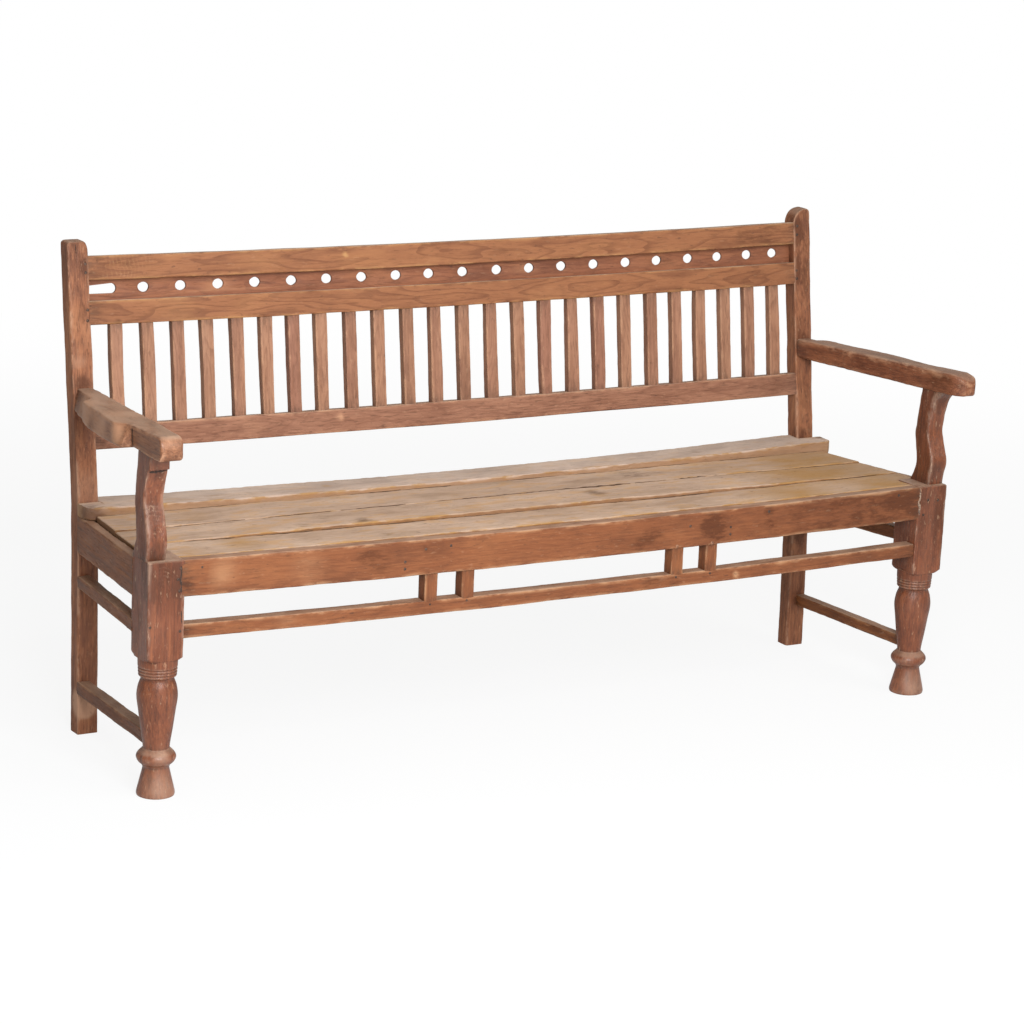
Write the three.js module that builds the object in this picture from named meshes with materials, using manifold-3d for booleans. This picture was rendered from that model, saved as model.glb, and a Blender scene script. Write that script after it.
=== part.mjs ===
import * as THREE from 'three';
import { mergeVertices } from 'three/addons/utils/BufferGeometryUtils.js';
import Module from 'manifold-3d';

// A long slat-back bench with open arms, turned front legs and a four-board seat.
// Millimetres. X runs along the bench, Y from its front to its back, Z up from the floor.
// Left and right are those of someone facing the front of the bench, so left is minus X.
// The bench is drawn with Y = 0 at the front of its legs and is centred on the origin at the end.

const wasm = await Module();
wasm.setup();

// Stance: the plan is a trapezium, longer at the front than at the back.
const BACK_SPAN = 1692; // clear length between the back posts
const SPAN_SPREAD_LENGTH = 22; // the front legs stand this much further apart
const SEAT_CLEAR_DEPTH = 363; // from the front leg to the back post, at seat height
const SEAT_HEIGHT = 470; // top of the front posts, and the bend in the back posts
const BACK_HEIGHT = 521; // from the seat to the tops of the back posts
const SEAT_TILT_DEGREES = 1.17; // the seat falls towards the back
const SIDE_TILT_DEGREES = 1.9; // the side aprons and upper side stretchers fall a little more

// Fits
const JOINT_GAP = 0.3; // clearance round every fitted piece
const TENON_ROOT = 5; // how far a tenon is rooted in its own piece
const ARRIS_WIDTH = 2; // worn edge along rails, slats and boards

// Back posts
const BACK_POST_WIDTH = 44;
const BACK_POST_DEPTH = 37;
const LEG_RAKE_DEGREES = 1.24; // below the seat
const BACK_RAKE_DEGREES = 8; // above the seat
const LEFT_CROWN_WIDTH = 9; // the inner top corners are rounded, the right one more
const LEFT_CROWN_HEIGHT = 22;
const RIGHT_CROWN_WIDTH = 36;
const RIGHT_CROWN_HEIGHT = 33;
const OUTER_CROWN_RADIUS = 8;
const CROWN_DIVISIONS = 6;

// Back rails, their heights measured up the slope of the back from the bend
const RAIL_HEIGHT = 48;
const RAIL_THICKNESS = 30;
const RAIL_INSET = 1; // behind the face of the posts
const LOWER_RAIL_SHARE = 0.213; // how far up the back its underside is
const PANEL_SHOWN_HEIGHT = 41; // what shows of the panel between the two upper rails
const TOP_RAIL_DROP = 29; // its top below the tops of the posts
const LOWER_RAIL_SAG = 4;
const MID_RAIL_SAG = 4;
const TOP_RAIL_SAG = 6;
const RAIL_TENON_LENGTH = 24;
const RAIL_TENON_CHEEK = 8;
const RAIL_TENON_SHOULDER = 12;

// Perforated panel between the two upper rails
const PANEL_THICKNESS = 6;
const PANEL_RECESS = 20; // behind the face of the rails
const PANEL_TONGUE = 8; // let into the rails and posts
const PANEL_SAG = 5;
const HOLE_WIDTH = 26;
const HOLE_HEIGHT = 21.5;
const HOLE_LIFT = 2.5; // above the middle of the strip that shows
const SLOT_LENGTH = 66; // the first hole on the left is worn into a slot
const SLOT_END_HEIGHT = 15;
const SLOT_INNER_PLACE = 15; // from the first hole's place to the slot's wide end
const SLOT_DIP = 3; // its narrow end lies lower
const HOLE_SIDES = 14;

// Slats
const SLAT_WIDTH = 26;
const SLAT_THICKNESS = 18;
const SLAT_INSET = 3; // behind the face of the rails
const SLAT_TENON_LENGTH = 8;

// The maker spaced holes and slats by eye: how far each strays from even spacing, left to right
const HOLE_DRIFT_SHARES = [ // of the holes' pitch
  0, 0.04, 0.05, 0.08, 0.1, 0.13, 0.13, 0.14, 0.14, 0.11, 0.12,
  0.15, 0.14, 0.13, 0.14, 0.16, 0.15, 0.16, 0.12, 0.09, -0.06,
];
const SLAT_DRIFT_SHARES = [ // of a slat's width
  0.1, 0.13, 0.15, 0.08, 0.12, 0.08, -0.08, -0.2, -0.12, -0.13, -0.04, -0.06, 0,
  0.06, 0.06, 0.12, 0.13, 0.15, 0.2, 0.3, 0.2, 0.12, 0.06, -0.06, -0.02,
];

// Front legs: a square post on a turned foot, with the arm support growing out of its top
const FRONT_POST_WIDTH = 75;
const FRONT_POST_DEPTH = 78;
const TURNING_INSET = 2; // the turned foot's axis, inward of the post's own
const POST_LENGTH = 195; // its square part
const FOOT_HEIGHT_SHARE = 0.211; // of the turned part below it; the collar takes the rest
const RING_HEIGHT_SHARE = 0.1345;
const VASE_HEIGHT_SHARE = 0.4945;
const FOOT_RADIUS = 37;
const RING_RADIUS = 38.4;
const VASE_RADIUS = 39.3;
const COLLAR_RADIUS = 38.5;
const POST_CORNER_RADIUS = 45; // the post's lower corners are turned off
const POST_CORNER_HEIGHT = 9;
const SUPPORT_THICKNESS = 42;
const SUPPORT_DOWEL_RADIUS = 10;
const SUPPORT_DOWEL_LENGTH = 22;
const LEG_SIDES = 20;

// The turned outlines, bottom to top: height share, radius share
const FOOT_SHARES = [[0, 0.97], [0.1, 1], [0.31, 0.93], [0.655, 0.8], [0.93, 0.7], [1, 0.7]];
const RING_SHARES = [[0, 0.68], [0.12, 0.74], [0.27, 0.9], [0.5, 1], [0.7, 0.94], [0.9, 0.76], [1, 0.665]];
const VASE_SHARES = [
  [0, 0.65], [0.1, 0.687], [0.29, 0.789], [0.54, 0.903], [0.75, 1], [0.9, 0.945], [1, 0.827],
];
const COLLAR_SHARES = [[0, 0.84], [0.12, 0.83], [0.2, 0.948], [0.4, 0.974], [0.61, 0.987], [1, 1]];

// The arm support's two edges, bottom to top: height share, share of the post's depth
const SUPPORT_FRONT_SHARES = [
  [0, 0.17], [0.095, 0.128], [0.17, 0.103], [0.284, 0.154],
  [0.427, 0.269], [0.559, 0.372], [0.711, 0.282], [0.882, 0.115], [1, 0],
];
const SUPPORT_BACK_SHARES = [
  [0, 1], [0.104, 0.87], [0.19, 0.795], [0.365, 0.87],
  [0.507, 0.935], [0.616, 0.897], [0.83, 0.82], [1, 0.77],
];

// Arms
const ARM_ROOT_RISE = 193; // underside above the seat, where it meets the back post
const ARM_ROOT_THICKNESS = 41.5;
const ARM_TOP_TILT_DEGREES = 2.03; // rising towards the front
const ARM_UNDERSIDE_TILT_DEGREES = 1.5;
const ARM_SPLAY_DEGREES = 4.69; // running outward towards the front
const ARM_ROOT_INSET = 3; // from the post's inner face
const ARM_NOSE_REACH = 61; // past the front of the leg
const ARM_ROOT_WIDTH = 31;
const ARM_NECK_WIDTH = 42;
const LEFT_ARM_WIDTH = 67;
const RIGHT_ARM_WIDTH = 57;
const ARM_FRONT_WIDTH = 50;
const ARM_NECK_LENGTH = 110;
const ARM_STEP_LENGTH = 28;
const ARM_SHOULDER_START = 318;
const ARM_SHOULDER_LENGTH = 70;
const NOSE_TOP_LENGTH = 19;
const NOSE_TOP_HEIGHT = 26;
const NOSE_UNDER_LENGTH = 9;
const NOSE_CORNER_RADIUS = 6;
const ARM_TENON_LENGTH = 20;
const ARM_TENON_WIDTH = 18;
const ARM_TENON_HEIGHT = 24;
const CURVE_DIVISIONS = 6;

// Aprons and stretchers
const APRON_HEIGHT = 72;
const APRON_THICKNESS = 25;
const APRON_SAG = 8;
const REAR_APRON_INSET = 6; // behind the face of the back posts
const REAR_APRON_HEIGHT = 70;
const STRETCHER_HEIGHT = 27.5;
const STRETCHER_DEPTH = 30;
const STRETCHER_INSET = 4;
const BALUSTER_WIDTH = 28;
const BALUSTER_LENGTH = 55; // what shows between apron and stretcher
const BALUSTER_PAIR_PLACE = 288; // middle of a pair, from the middle of the four
const BALUSTER_PAIR_SHIFT = 5; // the four sit a little to the right
const BALUSTER_PITCH = 83;
const BALUSTER_TENON_WIDTH = 14;
const BALUSTER_TENON_LENGTH = 12;
const FRONT_TENON_LENGTH = 30;
const FRONT_TENON_CHEEK = 8;
const APRON_TENON_SHOULDER = 10;
const STRETCHER_TENON_SHOULDER = 7;
const SIDE_APRON_THICKNESS = 21;
const SIDE_APRON_HEIGHT = 77;
const SIDE_APRON_DROP = 5; // its top below the top of the front post
const SIDE_STRETCHER_THICKNESS = 26;
const LEFT_STRETCHER_DROP = 128; // its top below the top of the front post
const LEFT_STRETCHER_HEIGHT = 24;
const RIGHT_STRETCHER_DROP = 120;
const RIGHT_STRETCHER_HEIGHT = 28;
const SIDE_TENON_LENGTH = 18;
const SIDE_TENON_CHEEK = 6;
const SIDE_TENON_SHOULDER = 6;
const LEFT_LOW_STRETCHER_SIZE = 27;
const LEFT_LOW_STRETCHER_FRONT = 106; // height of its centre line at the front leg
const LEFT_LOW_STRETCHER_BACK = 97; // and at the back post
const RIGHT_LOW_STRETCHER_SIZE = 24;
const RIGHT_LOW_STRETCHER_FRONT = 110;
const RIGHT_LOW_STRETCHER_BACK = 106;
const LOW_STRETCHER_TENON_WIDTH = 14;
const LOW_STRETCHER_TENON_LENGTH = 18;

// Seat
const BOARD_THICKNESS = 18;
const BOARD_GAP = 2; // open line between boards, and at their ends
const FRONT_BOARD_SHARE = 0.2472; // of the depth behind the front apron; the rear board takes the rest
const SECOND_BOARD_SHARE = 0.2583;
const THIRD_BOARD_SHARE = 0.2759;
const FRONT_BOARD_SAG = 5.4;
const SECOND_BOARD_SAG = -2; // this one has crowned
const THIRD_BOARD_SAG = 2;
const REAR_BOARD_RISE = 12; // its ends above the front posts' tops
const REAR_BOARD_SAG = 12;
const REAR_BOARD_LEAN = 3; // its top is this much lower at the left end and higher at the right
const REAR_BOARD_OVERHANG = 13; // past the back posts' outer faces
const REAR_BOARD_CORNER_RADIUS = 18;
const LEDGER_WIDTH = 22;
const LEDGER_HEIGHT = 26;
const BEARER_WIDTH = 40;
const BEARER_HEIGHT = 50;
const BEARER_PLACE = 382; // from the middle of the bench

const SAG_STEPS = 12;

// What differs between the two ends
const SIDES = {
  left: {
    crownWidth: LEFT_CROWN_WIDTH,
    crownHeight: LEFT_CROWN_HEIGHT,
    armWidth: LEFT_ARM_WIDTH,
    stretcherTop: SEAT_HEIGHT - LEFT_STRETCHER_DROP,
    stretcherHeight: LEFT_STRETCHER_HEIGHT,
    lowSize: LEFT_LOW_STRETCHER_SIZE,
    lowFront: LEFT_LOW_STRETCHER_FRONT,
    lowBack: LEFT_LOW_STRETCHER_BACK,
  },
  right: {
    crownWidth: RIGHT_CROWN_WIDTH,
    crownHeight: RIGHT_CROWN_HEIGHT,
    armWidth: RIGHT_ARM_WIDTH,
    stretcherTop: SEAT_HEIGHT - RIGHT_STRETCHER_DROP,
    stretcherHeight: RIGHT_STRETCHER_HEIGHT,
    lowSize: RIGHT_LOW_STRETCHER_SIZE,
    lowFront: RIGHT_LOW_STRETCHER_FRONT,
    lowBack: RIGHT_LOW_STRETCHER_BACK,
  },
};

// Lines that the pieces share
const tangent = (degrees) => Math.tan(THREE.MathUtils.degToRad(degrees));
const sideRise = tangent(SIDE_TILT_DEGREES);
const seatFall = tangent(SEAT_TILT_DEGREES);
const backInner = BACK_SPAN / 2;
const backOuter = backInner + BACK_POST_WIDTH;
const frontInner = (BACK_SPAN + SPAN_SPREAD_LENGTH) / 2;
const frontOuter = frontInner + FRONT_POST_WIDTH;
const overallHeight = SEAT_HEIGHT + BACK_HEIGHT;
const kneeLine = FRONT_POST_DEPTH + SEAT_CLEAR_DEPTH;
const sideSlope = (frontOuter - backOuter) / SEAT_CLEAR_DEPTH;
const legAxisX = frontInner + FRONT_POST_WIDTH / 2 - TURNING_INSET;
const legAxisY = FRONT_POST_DEPTH / 2;
const postBottom = SEAT_HEIGHT - POST_LENGTH;
const footHeight = postBottom * FOOT_HEIGHT_SHARE;
const ringHeight = postBottom * RING_HEIGHT_SHARE;
const vaseHeight = postBottom * VASE_HEIGHT_SHARE;
const collarHeight = postBottom - footHeight - ringHeight - vaseHeight;
const armRootHeight = SEAT_HEIGHT + ARM_ROOT_RISE;
const armRootLine = postFaceAt(armRootHeight);
const backSlope = BACK_HEIGHT / Math.cos(THREE.MathUtils.degToRad(BACK_RAKE_DEGREES));
const topRailRise = backSlope - TOP_RAIL_DROP - RAIL_HEIGHT;
const midRailRise = topRailRise - PANEL_SHOWN_HEIGHT - RAIL_HEIGHT;
const lowerRailRise = backSlope * LOWER_RAIL_SHARE;

// Front face of a back post at a height
function postFaceAt(z) {
  const rake = z < SEAT_HEIGHT ? LEG_RAKE_DEGREES : BACK_RAKE_DEGREES;
  return kneeLine + (z - SEAT_HEIGHT) * tangent(rake);
}

// Outer face of a side apron, flush with both posts, at a depth
function sideFaceAt(y) {
  return frontOuter - (y - FRONT_POST_DEPTH) * sideSlope;
}

// Underside and top of an arm at a depth
function armUndersideAt(y) {
  return armRootHeight + (armRootLine - y) * tangent(ARM_UNDERSIDE_TILT_DEGREES);
}

function armTopAt(y) {
  return armRootHeight + ARM_ROOT_THICKNESS + (armRootLine - y) * tangent(ARM_TOP_TILT_DEGREES);
}

// Top of the plain seat boards at a depth
function seatTopAt(y) {
  return SEAT_HEIGHT - y * seatFall;
}

// How far a long piece has dropped at a place along it
function sagAt(x, drop) {
  return drop * Math.max(0, 1 - (x / backInner) ** 2);
}

// The back leans on its own frame, hinged on the bend line of the posts
const back = new THREE.Group();
back.position.set(0, kneeLine, SEAT_HEIGHT);
back.rotation.x = -THREE.MathUtils.degToRad(BACK_RAKE_DEGREES);
back.updateMatrix();

// Solids
function solidOf(geometry) {
  const bare = geometry.clone();
  bare.deleteAttribute('normal');
  bare.deleteAttribute('uv');
  const merged = mergeVertices(bare);
  const corners = merged.index.array;
  const faces = [];
  for (let i = 0; i < corners.length; i += 3) {
    const [a, b, c] = corners.slice(i, i + 3);
    if (a !== b && b !== c && c !== a) {
      faces.push(a, b, c);
    }
  }
  const mesh = new wasm.Mesh({
    numProp: 3,
    vertProperties: new Float32Array(merged.attributes.position.array),
    triVerts: new Uint32Array(faces),
  });
  return new wasm.Manifold(mesh);
}

function geometryOf(solid) {
  const mesh = solid.getMesh();
  const geometry = new THREE.BufferGeometry();
  geometry.setAttribute('position', new THREE.BufferAttribute(mesh.vertProperties, 3));
  geometry.setIndex(new THREE.BufferAttribute(mesh.triVerts, 1));
  geometry.computeVertexNormals();
  return geometry;
}

function cut(solid, cutters) {
  return cutters.reduce((rest, cutter) => rest.subtract(solidOf(cutter)), solid);
}

function join(solid, additions) {
  return additions.reduce((whole, addition) => whole.add(solidOf(addition)), solid);
}

// The left piece is the right one turned over in the middle plane of the bench
function mirrored(geometry) {
  const copy = geometry.clone().scale(-1, 1, 1);
  const faces = copy.index.array;
  for (let i = 0; i < faces.length; i += 3) {
    const kept = faces[i];
    faces[i] = faces[i + 1];
    faces[i + 1] = kept;
  }
  copy.computeVertexNormals();
  return copy;
}

// Outlines along X are drawn in Y and Z, along Y in Z and X, along Z in X and Y
const unitX = new THREE.Vector3(1, 0, 0);
const unitY = new THREE.Vector3(0, 1, 0);
const unitZ = new THREE.Vector3(0, 0, 1);
const alongX = new THREE.Matrix4().makeBasis(unitY, unitZ, unitX);
const alongY = new THREE.Matrix4().makeBasis(unitZ, unitX, unitY);
const alongZ = new THREE.Matrix4();

function prism(direction, outline, from, to, steps = 1) {
  const shape = new THREE.Shape(outline.map(([a, b]) => new THREE.Vector2(a, b)));
  const geometry = new THREE.ExtrudeGeometry(shape, { depth: to - from, steps, bevelEnabled: false });
  geometry.translate(0, 0, from);
  geometry.applyMatrix4(direction);
  return geometry;
}

function rectangle(a0, a1, b0, b1) {
  return [[a0, b0], [a1, b0], [a1, b1], [a0, b1]];
}

// Takes the sharp corners off an outline
function eased(outline, distance) {
  const softened = [];
  outline.forEach((point, i) => {
    const corner = new THREE.Vector2(...point);
    const before = new THREE.Vector2(...outline[(i + outline.length - 1) % outline.length]);
    const after = new THREE.Vector2(...outline[(i + 1) % outline.length]);
    for (const neighbour of [before, after]) {
      const step = neighbour.sub(corner).setLength(distance);
      softened.push([corner.x + step.x, corner.y + step.y]);
    }
  });
  return softened;
}

// A quarter of an ellipse, from one end of its first axis to the end of its second
function quarter(centre, first, second, divisions) {
  const points = [];
  for (let i = 0; i <= divisions; i += 1) {
    const turn = (i / divisions) * (Math.PI / 2);
    const a = centre[0] + first[0] * Math.cos(turn) + second[0] * Math.sin(turn);
    const b = centre[1] + first[1] * Math.cos(turn) + second[1] * Math.sin(turn);
    points.push([a, b]);
  }
  return points;
}

function block(box, clearance = 0) {
  const { x, y, z } = box;
  const geometry = new THREE.BoxGeometry(
    x[1] - x[0] + 2 * clearance,
    y[1] - y[0] + 2 * clearance,
    z[1] - z[0] + 2 * clearance,
  );
  geometry.translate((x[0] + x[1]) / 2, (y[0] + y[1]) / 2, (z[0] + z[1]) / 2);
  return geometry;
}

function acrossMiddle(box) {
  return { x: [-box.x[1], -box.x[0]], y: box.y, z: box.z };
}

function moved(geometry, move) {
  const position = geometry.attributes.position;
  const point = new THREE.Vector3();
  for (let i = 0; i < position.count; i += 1) {
    point.fromBufferAttribute(position, i);
    move(point);
    position.setXYZ(i, point.x, point.y, point.z);
  }
  return geometry;
}

function sagged(geometry, drop) {
  return moved(geometry, (point) => {
    point.z -= sagAt(point.x, drop);
  });
}

// Long pieces have their steps at the same places as their neighbours, so that they drop alike
function longPrism(outline, reach, drop) {
  const half = SAG_STEPS / 2;
  const stations = reach > backInner ? half + 1 : half;
  const geometry = prism(alongX, outline, -stations, stations, 2 * stations);
  moved(geometry, (point) => {
    const station = Math.round(point.x);
    const atEnd = Math.abs(station) === stations;
    point.x = atEnd ? Math.sign(station) * reach : station * backInner / half;
  });
  return sagged(geometry, drop);
}

// A piece drawn with its outer face at x = 0 is laid along the side of the bench
function laidAlongSide(geometry) {
  return moved(geometry, (point) => {
    point.x += sideFaceAt(point.y);
  });
}

// Woods: colour, roughness
const SEAT_WOOD = ['#b9966f', 0.75];
const BACK_WOOD = ['#9a6a4c', 0.6];
const SLAT_WOOD = ['#9c6a4f', 0.62];
const FRAME_WOOD = ['#83523a', 0.55];
const APRON_WOOD = ['#9a5e3c', 0.58];
const HIDDEN_WOOD = ['#7a5a42', 0.85];

const bench = new THREE.Group();

function place(parent, name, geometry, [color, roughness]) {
  const material = new THREE.MeshStandardMaterial({ color, roughness, metalness: 0, flatShading: true });
  const mesh = new THREE.Mesh(geometry, material);
  mesh.name = name;
  parent.add(mesh);
  return mesh;
}

// Tenons, as boxes on the right-hand side of the bench
function railTenon(rise) {
  return {
    x: [backInner - TENON_ROOT, backInner + RAIL_TENON_LENGTH],
    y: [RAIL_INSET + RAIL_TENON_CHEEK, RAIL_INSET + RAIL_THICKNESS - RAIL_TENON_CHEEK],
    z: [rise + RAIL_TENON_SHOULDER, rise + RAIL_HEIGHT - RAIL_TENON_SHOULDER],
  };
}

const rearBoardTop = SEAT_HEIGHT + REAR_BOARD_RISE;
const sideApronTop = SEAT_HEIGHT - SIDE_APRON_DROP;
const boardRoom = kneeLine + BACK_POST_DEPTH - APRON_THICKNESS;
const frontBoardWidth = boardRoom * FRONT_BOARD_SHARE;
const secondBoardWidth = boardRoom * SECOND_BOARD_SHARE;
const thirdBoardWidth = boardRoom * THIRD_BOARD_SHARE;
const boardRun = frontBoardWidth + secondBoardWidth + thirdBoardWidth;
const rearBoardFront = APRON_THICKNESS + boardRun + 4 * BOARD_GAP;
const rearBoardBottom = sideTopAt(sideApronTop, rearBoardFront) + JOINT_GAP;
const rearApronTop = rearBoardBottom - JOINT_GAP;
const rearApronFront = kneeLine + REAR_APRON_INSET;
const rearApronTenon = {
  x: [backInner - TENON_ROOT, backInner + RAIL_TENON_LENGTH],
  y: [rearApronFront + FRONT_TENON_CHEEK, rearApronFront + APRON_THICKNESS - FRONT_TENON_CHEEK],
  z: [rearApronTop - REAR_APRON_HEIGHT + APRON_TENON_SHOULDER, rearApronTop - APRON_TENON_SHOULDER],
};

// Top edge of a side piece at a depth, falling from its height at the front leg
function sideTopAt(topAtFront, y) {
  return topAtFront - (y - FRONT_POST_DEPTH) * sideRise;
}

const frontApronTenon = {
  x: [frontInner - TENON_ROOT, frontInner + FRONT_TENON_LENGTH],
  y: [FRONT_TENON_CHEEK, APRON_THICKNESS - FRONT_TENON_CHEEK],
  z: [SEAT_HEIGHT - APRON_HEIGHT + APRON_TENON_SHOULDER, SEAT_HEIGHT - APRON_TENON_SHOULDER],
};

const apronBottom = SEAT_HEIGHT - APRON_HEIGHT;
const stretcherTop = apronBottom - BALUSTER_LENGTH;
const stretcherBottom = stretcherTop - STRETCHER_HEIGHT;
const stretcherTenon = {
  x: [frontInner - TENON_ROOT, frontInner + FRONT_TENON_LENGTH],
  y: [STRETCHER_INSET + FRONT_TENON_CHEEK, STRETCHER_INSET + STRETCHER_DEPTH - FRONT_TENON_CHEEK],
  z: [stretcherBottom + STRETCHER_TENON_SHOULDER, stretcherTop - STRETCHER_TENON_SHOULDER],
};

// A side piece has one tenon in the front leg and one in the back post
function sideTenons(topAtFront, height, thickness) {
  const half = thickness / 2 - SIDE_TENON_CHEEK;
  const backTop = sideTopAt(topAtFront, kneeLine);
  const frontX = frontOuter - thickness / 2;
  const backX = backOuter - thickness / 2;
  return [
    {
      x: [frontX - half, frontX + half],
      y: [FRONT_POST_DEPTH - SIDE_TENON_LENGTH, FRONT_POST_DEPTH + TENON_ROOT],
      z: [topAtFront - height + SIDE_TENON_SHOULDER, topAtFront - SIDE_TENON_SHOULDER],
    },
    {
      x: [backX - half, backX + half],
      y: [postFaceAt(backTop - height) - TENON_ROOT, kneeLine + SIDE_TENON_LENGTH],
      z: [backTop - height + SIDE_TENON_SHOULDER, backTop - SIDE_TENON_SHOULDER],
    },
  ];
}

const sideApronTenons = sideTenons(sideApronTop, SIDE_APRON_HEIGHT, SIDE_APRON_THICKNESS);

function sideStretcherTenons(side) {
  return sideTenons(side.stretcherTop, side.stretcherHeight, SIDE_STRETCHER_THICKNESS);
}

const armTenonX = backInner + ARM_ROOT_INSET + ARM_ROOT_WIDTH / 2;
const armTenonZ = armRootHeight + ARM_ROOT_THICKNESS / 2;
const armTenon = {
  x: [armTenonX - ARM_TENON_WIDTH / 2, armTenonX + ARM_TENON_WIDTH / 2],
  y: [armRootLine - TENON_ROOT, armRootLine + ARM_TENON_LENGTH],
  z: [armTenonZ - ARM_TENON_HEIGHT / 2, armTenonZ + ARM_TENON_HEIGHT / 2],
};

// A low stretcher runs from the axis of the turned leg to the outer edge of the back post
function lowTenons(side) {
  const half = LOW_STRETCHER_TENON_WIDTH / 2;
  const backX = backOuter - side.lowSize / 2;
  const backFace = postFaceAt(side.lowBack);
  return [
    {
      x: [legAxisX - half, legAxisX + half],
      y: [legAxisY, FRONT_POST_DEPTH],
      z: [side.lowFront - half, side.lowFront + half],
    },
    {
      x: [backX - half, backX + half],
      y: [backFace - TENON_ROOT, backFace + LOW_STRETCHER_TENON_LENGTH],
      z: [side.lowBack - half, side.lowBack + half],
    },
  ];
}

// Back post
function backPost(side) {
  const { crownWidth, crownHeight } = side;
  const sideOutline = [
    [postFaceAt(0), 0],
    [kneeLine, SEAT_HEIGHT],
    [postFaceAt(overallHeight), overallHeight],
    [postFaceAt(overallHeight) + BACK_POST_DEPTH, overallHeight],
    [kneeLine + BACK_POST_DEPTH, SEAT_HEIGHT],
    [postFaceAt(0) + BACK_POST_DEPTH, 0],
  ];
  const crownFoot = overallHeight - crownHeight;
  const outerFoot = overallHeight - OUTER_CROWN_RADIUS;
  const innerCorner = backInner + crownWidth;
  const outerCorner = backOuter - OUTER_CROWN_RADIUS;
  const frontOutline = [
    [0, backInner],
    ...quarter([crownFoot, innerCorner], [0, -crownWidth], [crownHeight, 0], CROWN_DIVISIONS),
    ...quarter([outerFoot, outerCorner], [OUTER_CROWN_RADIUS, 0], [0, OUTER_CROWN_RADIUS], CURVE_DIVISIONS),
    [0, backOuter],
  ];
  const reach = kneeLine + overallHeight;
  const whole = solidOf(prism(alongX, sideOutline, backInner, backOuter));
  const shaped = whole.intersect(solidOf(prism(alongY, frontOutline, 0, reach)));
  const leaning = [lowerRailRise, midRailRise, topRailRise].map(railTenon);
  const upright = [
    rearApronTenon,
    armTenon,
    sideApronTenons[1],
    sideStretcherTenons(side)[1],
    lowTenons(side)[1],
  ];
  return geometryOf(cut(shaped, [
    ...[...leaning, panelBox()].map((box) => block(box, JOINT_GAP).applyMatrix4(back.matrix)),
    ...upright.map((box) => block(box, JOINT_GAP)),
  ]));
}

// Back rails and panel, drawn in the leaning frame: Y behind the face of the posts, Z up the slope
function backRail(rise, drop, cutters) {
  const front = RAIL_INSET;
  const outline = eased(rectangle(front, front + RAIL_THICKNESS, rise, rise + RAIL_HEIGHT), ARRIS_WIDTH);
  const length = backInner - JOINT_GAP;
  const body = solidOf(longPrism(outline, length, drop));
  const tenon = railTenon(rise);
  return geometryOf(cut(join(body, [block(tenon), block(acrossMiddle(tenon))]), cutters));
}

const panelBottom = midRailRise + RAIL_HEIGHT - PANEL_TONGUE;
const panelTop = topRailRise + PANEL_TONGUE;
const panelFront = RAIL_INSET + PANEL_RECESS;

function panelBox() {
  const end = backInner + PANEL_TONGUE;
  return { x: [0, end], y: [panelFront, panelFront + PANEL_THICKNESS], z: [panelBottom, panelTop] };
}

function panelSheet(clearance) {
  const outline = rectangle(
    panelFront - clearance,
    panelFront + PANEL_THICKNESS + clearance,
    panelBottom - clearance,
    panelTop + clearance,
  );
  const end = backInner + PANEL_TONGUE + clearance;
  return longPrism(outline, end, PANEL_SAG);
}

// Holes run straight through the panel; the first is worn into a slot
function panelHoles() {
  const count = HOLE_DRIFT_SHARES.length;
  const pitch = BACK_SPAN / count;
  const middle = (midRailRise + RAIL_HEIGHT + topRailRise) / 2 + HOLE_LIFT;
  return HOLE_DRIFT_SHARES.map((drift, i) => {
    const placeX = (i - (count - 1) / 2 + drift) * pitch;
    const z = middle - sagAt(placeX, PANEL_SAG);
    return i === 0 ? slot(placeX, z) : hole(placeX, z);
  });
}

function hole(placeX, z) {
  const drilled = new THREE.CylinderGeometry(HOLE_WIDTH / 2, HOLE_WIDTH / 2, 3 * PANEL_THICKNESS, HOLE_SIDES);
  drilled.scale(1, 1, HOLE_HEIGHT / HOLE_WIDTH);
  return drilled.translate(placeX, panelFront + PANEL_THICKNESS / 2, z);
}

function slot(placeX, z) {
  const wide = placeX + SLOT_INNER_PLACE;
  const wideRadius = HOLE_HEIGHT / 2;
  const narrowRadius = SLOT_END_HEIGHT / 2;
  const narrow = wide + wideRadius + narrowRadius - SLOT_LENGTH;
  const low = z - SLOT_DIP;
  const outline = [
    ...quarter([z, wide], [wideRadius, 0], [0, wideRadius], CURVE_DIVISIONS),
    ...quarter([z, wide], [0, wideRadius], [-wideRadius, 0], CURVE_DIVISIONS).slice(1),
    ...quarter([low, narrow], [-narrowRadius, 0], [0, -narrowRadius], CURVE_DIVISIONS),
    ...quarter([low, narrow], [0, -narrowRadius], [narrowRadius, 0], CURVE_DIVISIONS).slice(1),
  ];
  return prism(alongY, outline, panelFront - PANEL_THICKNESS, panelFront + 2 * PANEL_THICKNESS);
}

// Slats, spaced with a gap at each end
const slatCount = SLAT_DRIFT_SHARES.length;
const slatPitch = (BACK_SPAN + SLAT_WIDTH) / (slatCount + 1);
const slatPlaces = SLAT_DRIFT_SHARES.map((drift, i) => {
  const evenPlace = (i - (slatCount - 1) / 2) * slatPitch;
  return evenPlace + drift * SLAT_WIDTH;
});

function slat(place, clearance) {
  const half = SLAT_WIDTH / 2 + clearance;
  const front = RAIL_INSET + SLAT_INSET - clearance;
  const rear = RAIL_INSET + SLAT_INSET + SLAT_THICKNESS + clearance;
  const bottom = lowerRailRise + RAIL_HEIGHT - SLAT_TENON_LENGTH - sagAt(place, LOWER_RAIL_SAG) - clearance;
  const top = midRailRise + SLAT_TENON_LENGTH - sagAt(place, MID_RAIL_SAG) + clearance;
  return prism(alongZ, eased(rectangle(-half, half, front, rear), ARRIS_WIDTH), bottom, top);
}

const slatHoles = slatPlaces.map((place) => slat(place, JOINT_GAP).translate(place, 0, 0));

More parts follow.
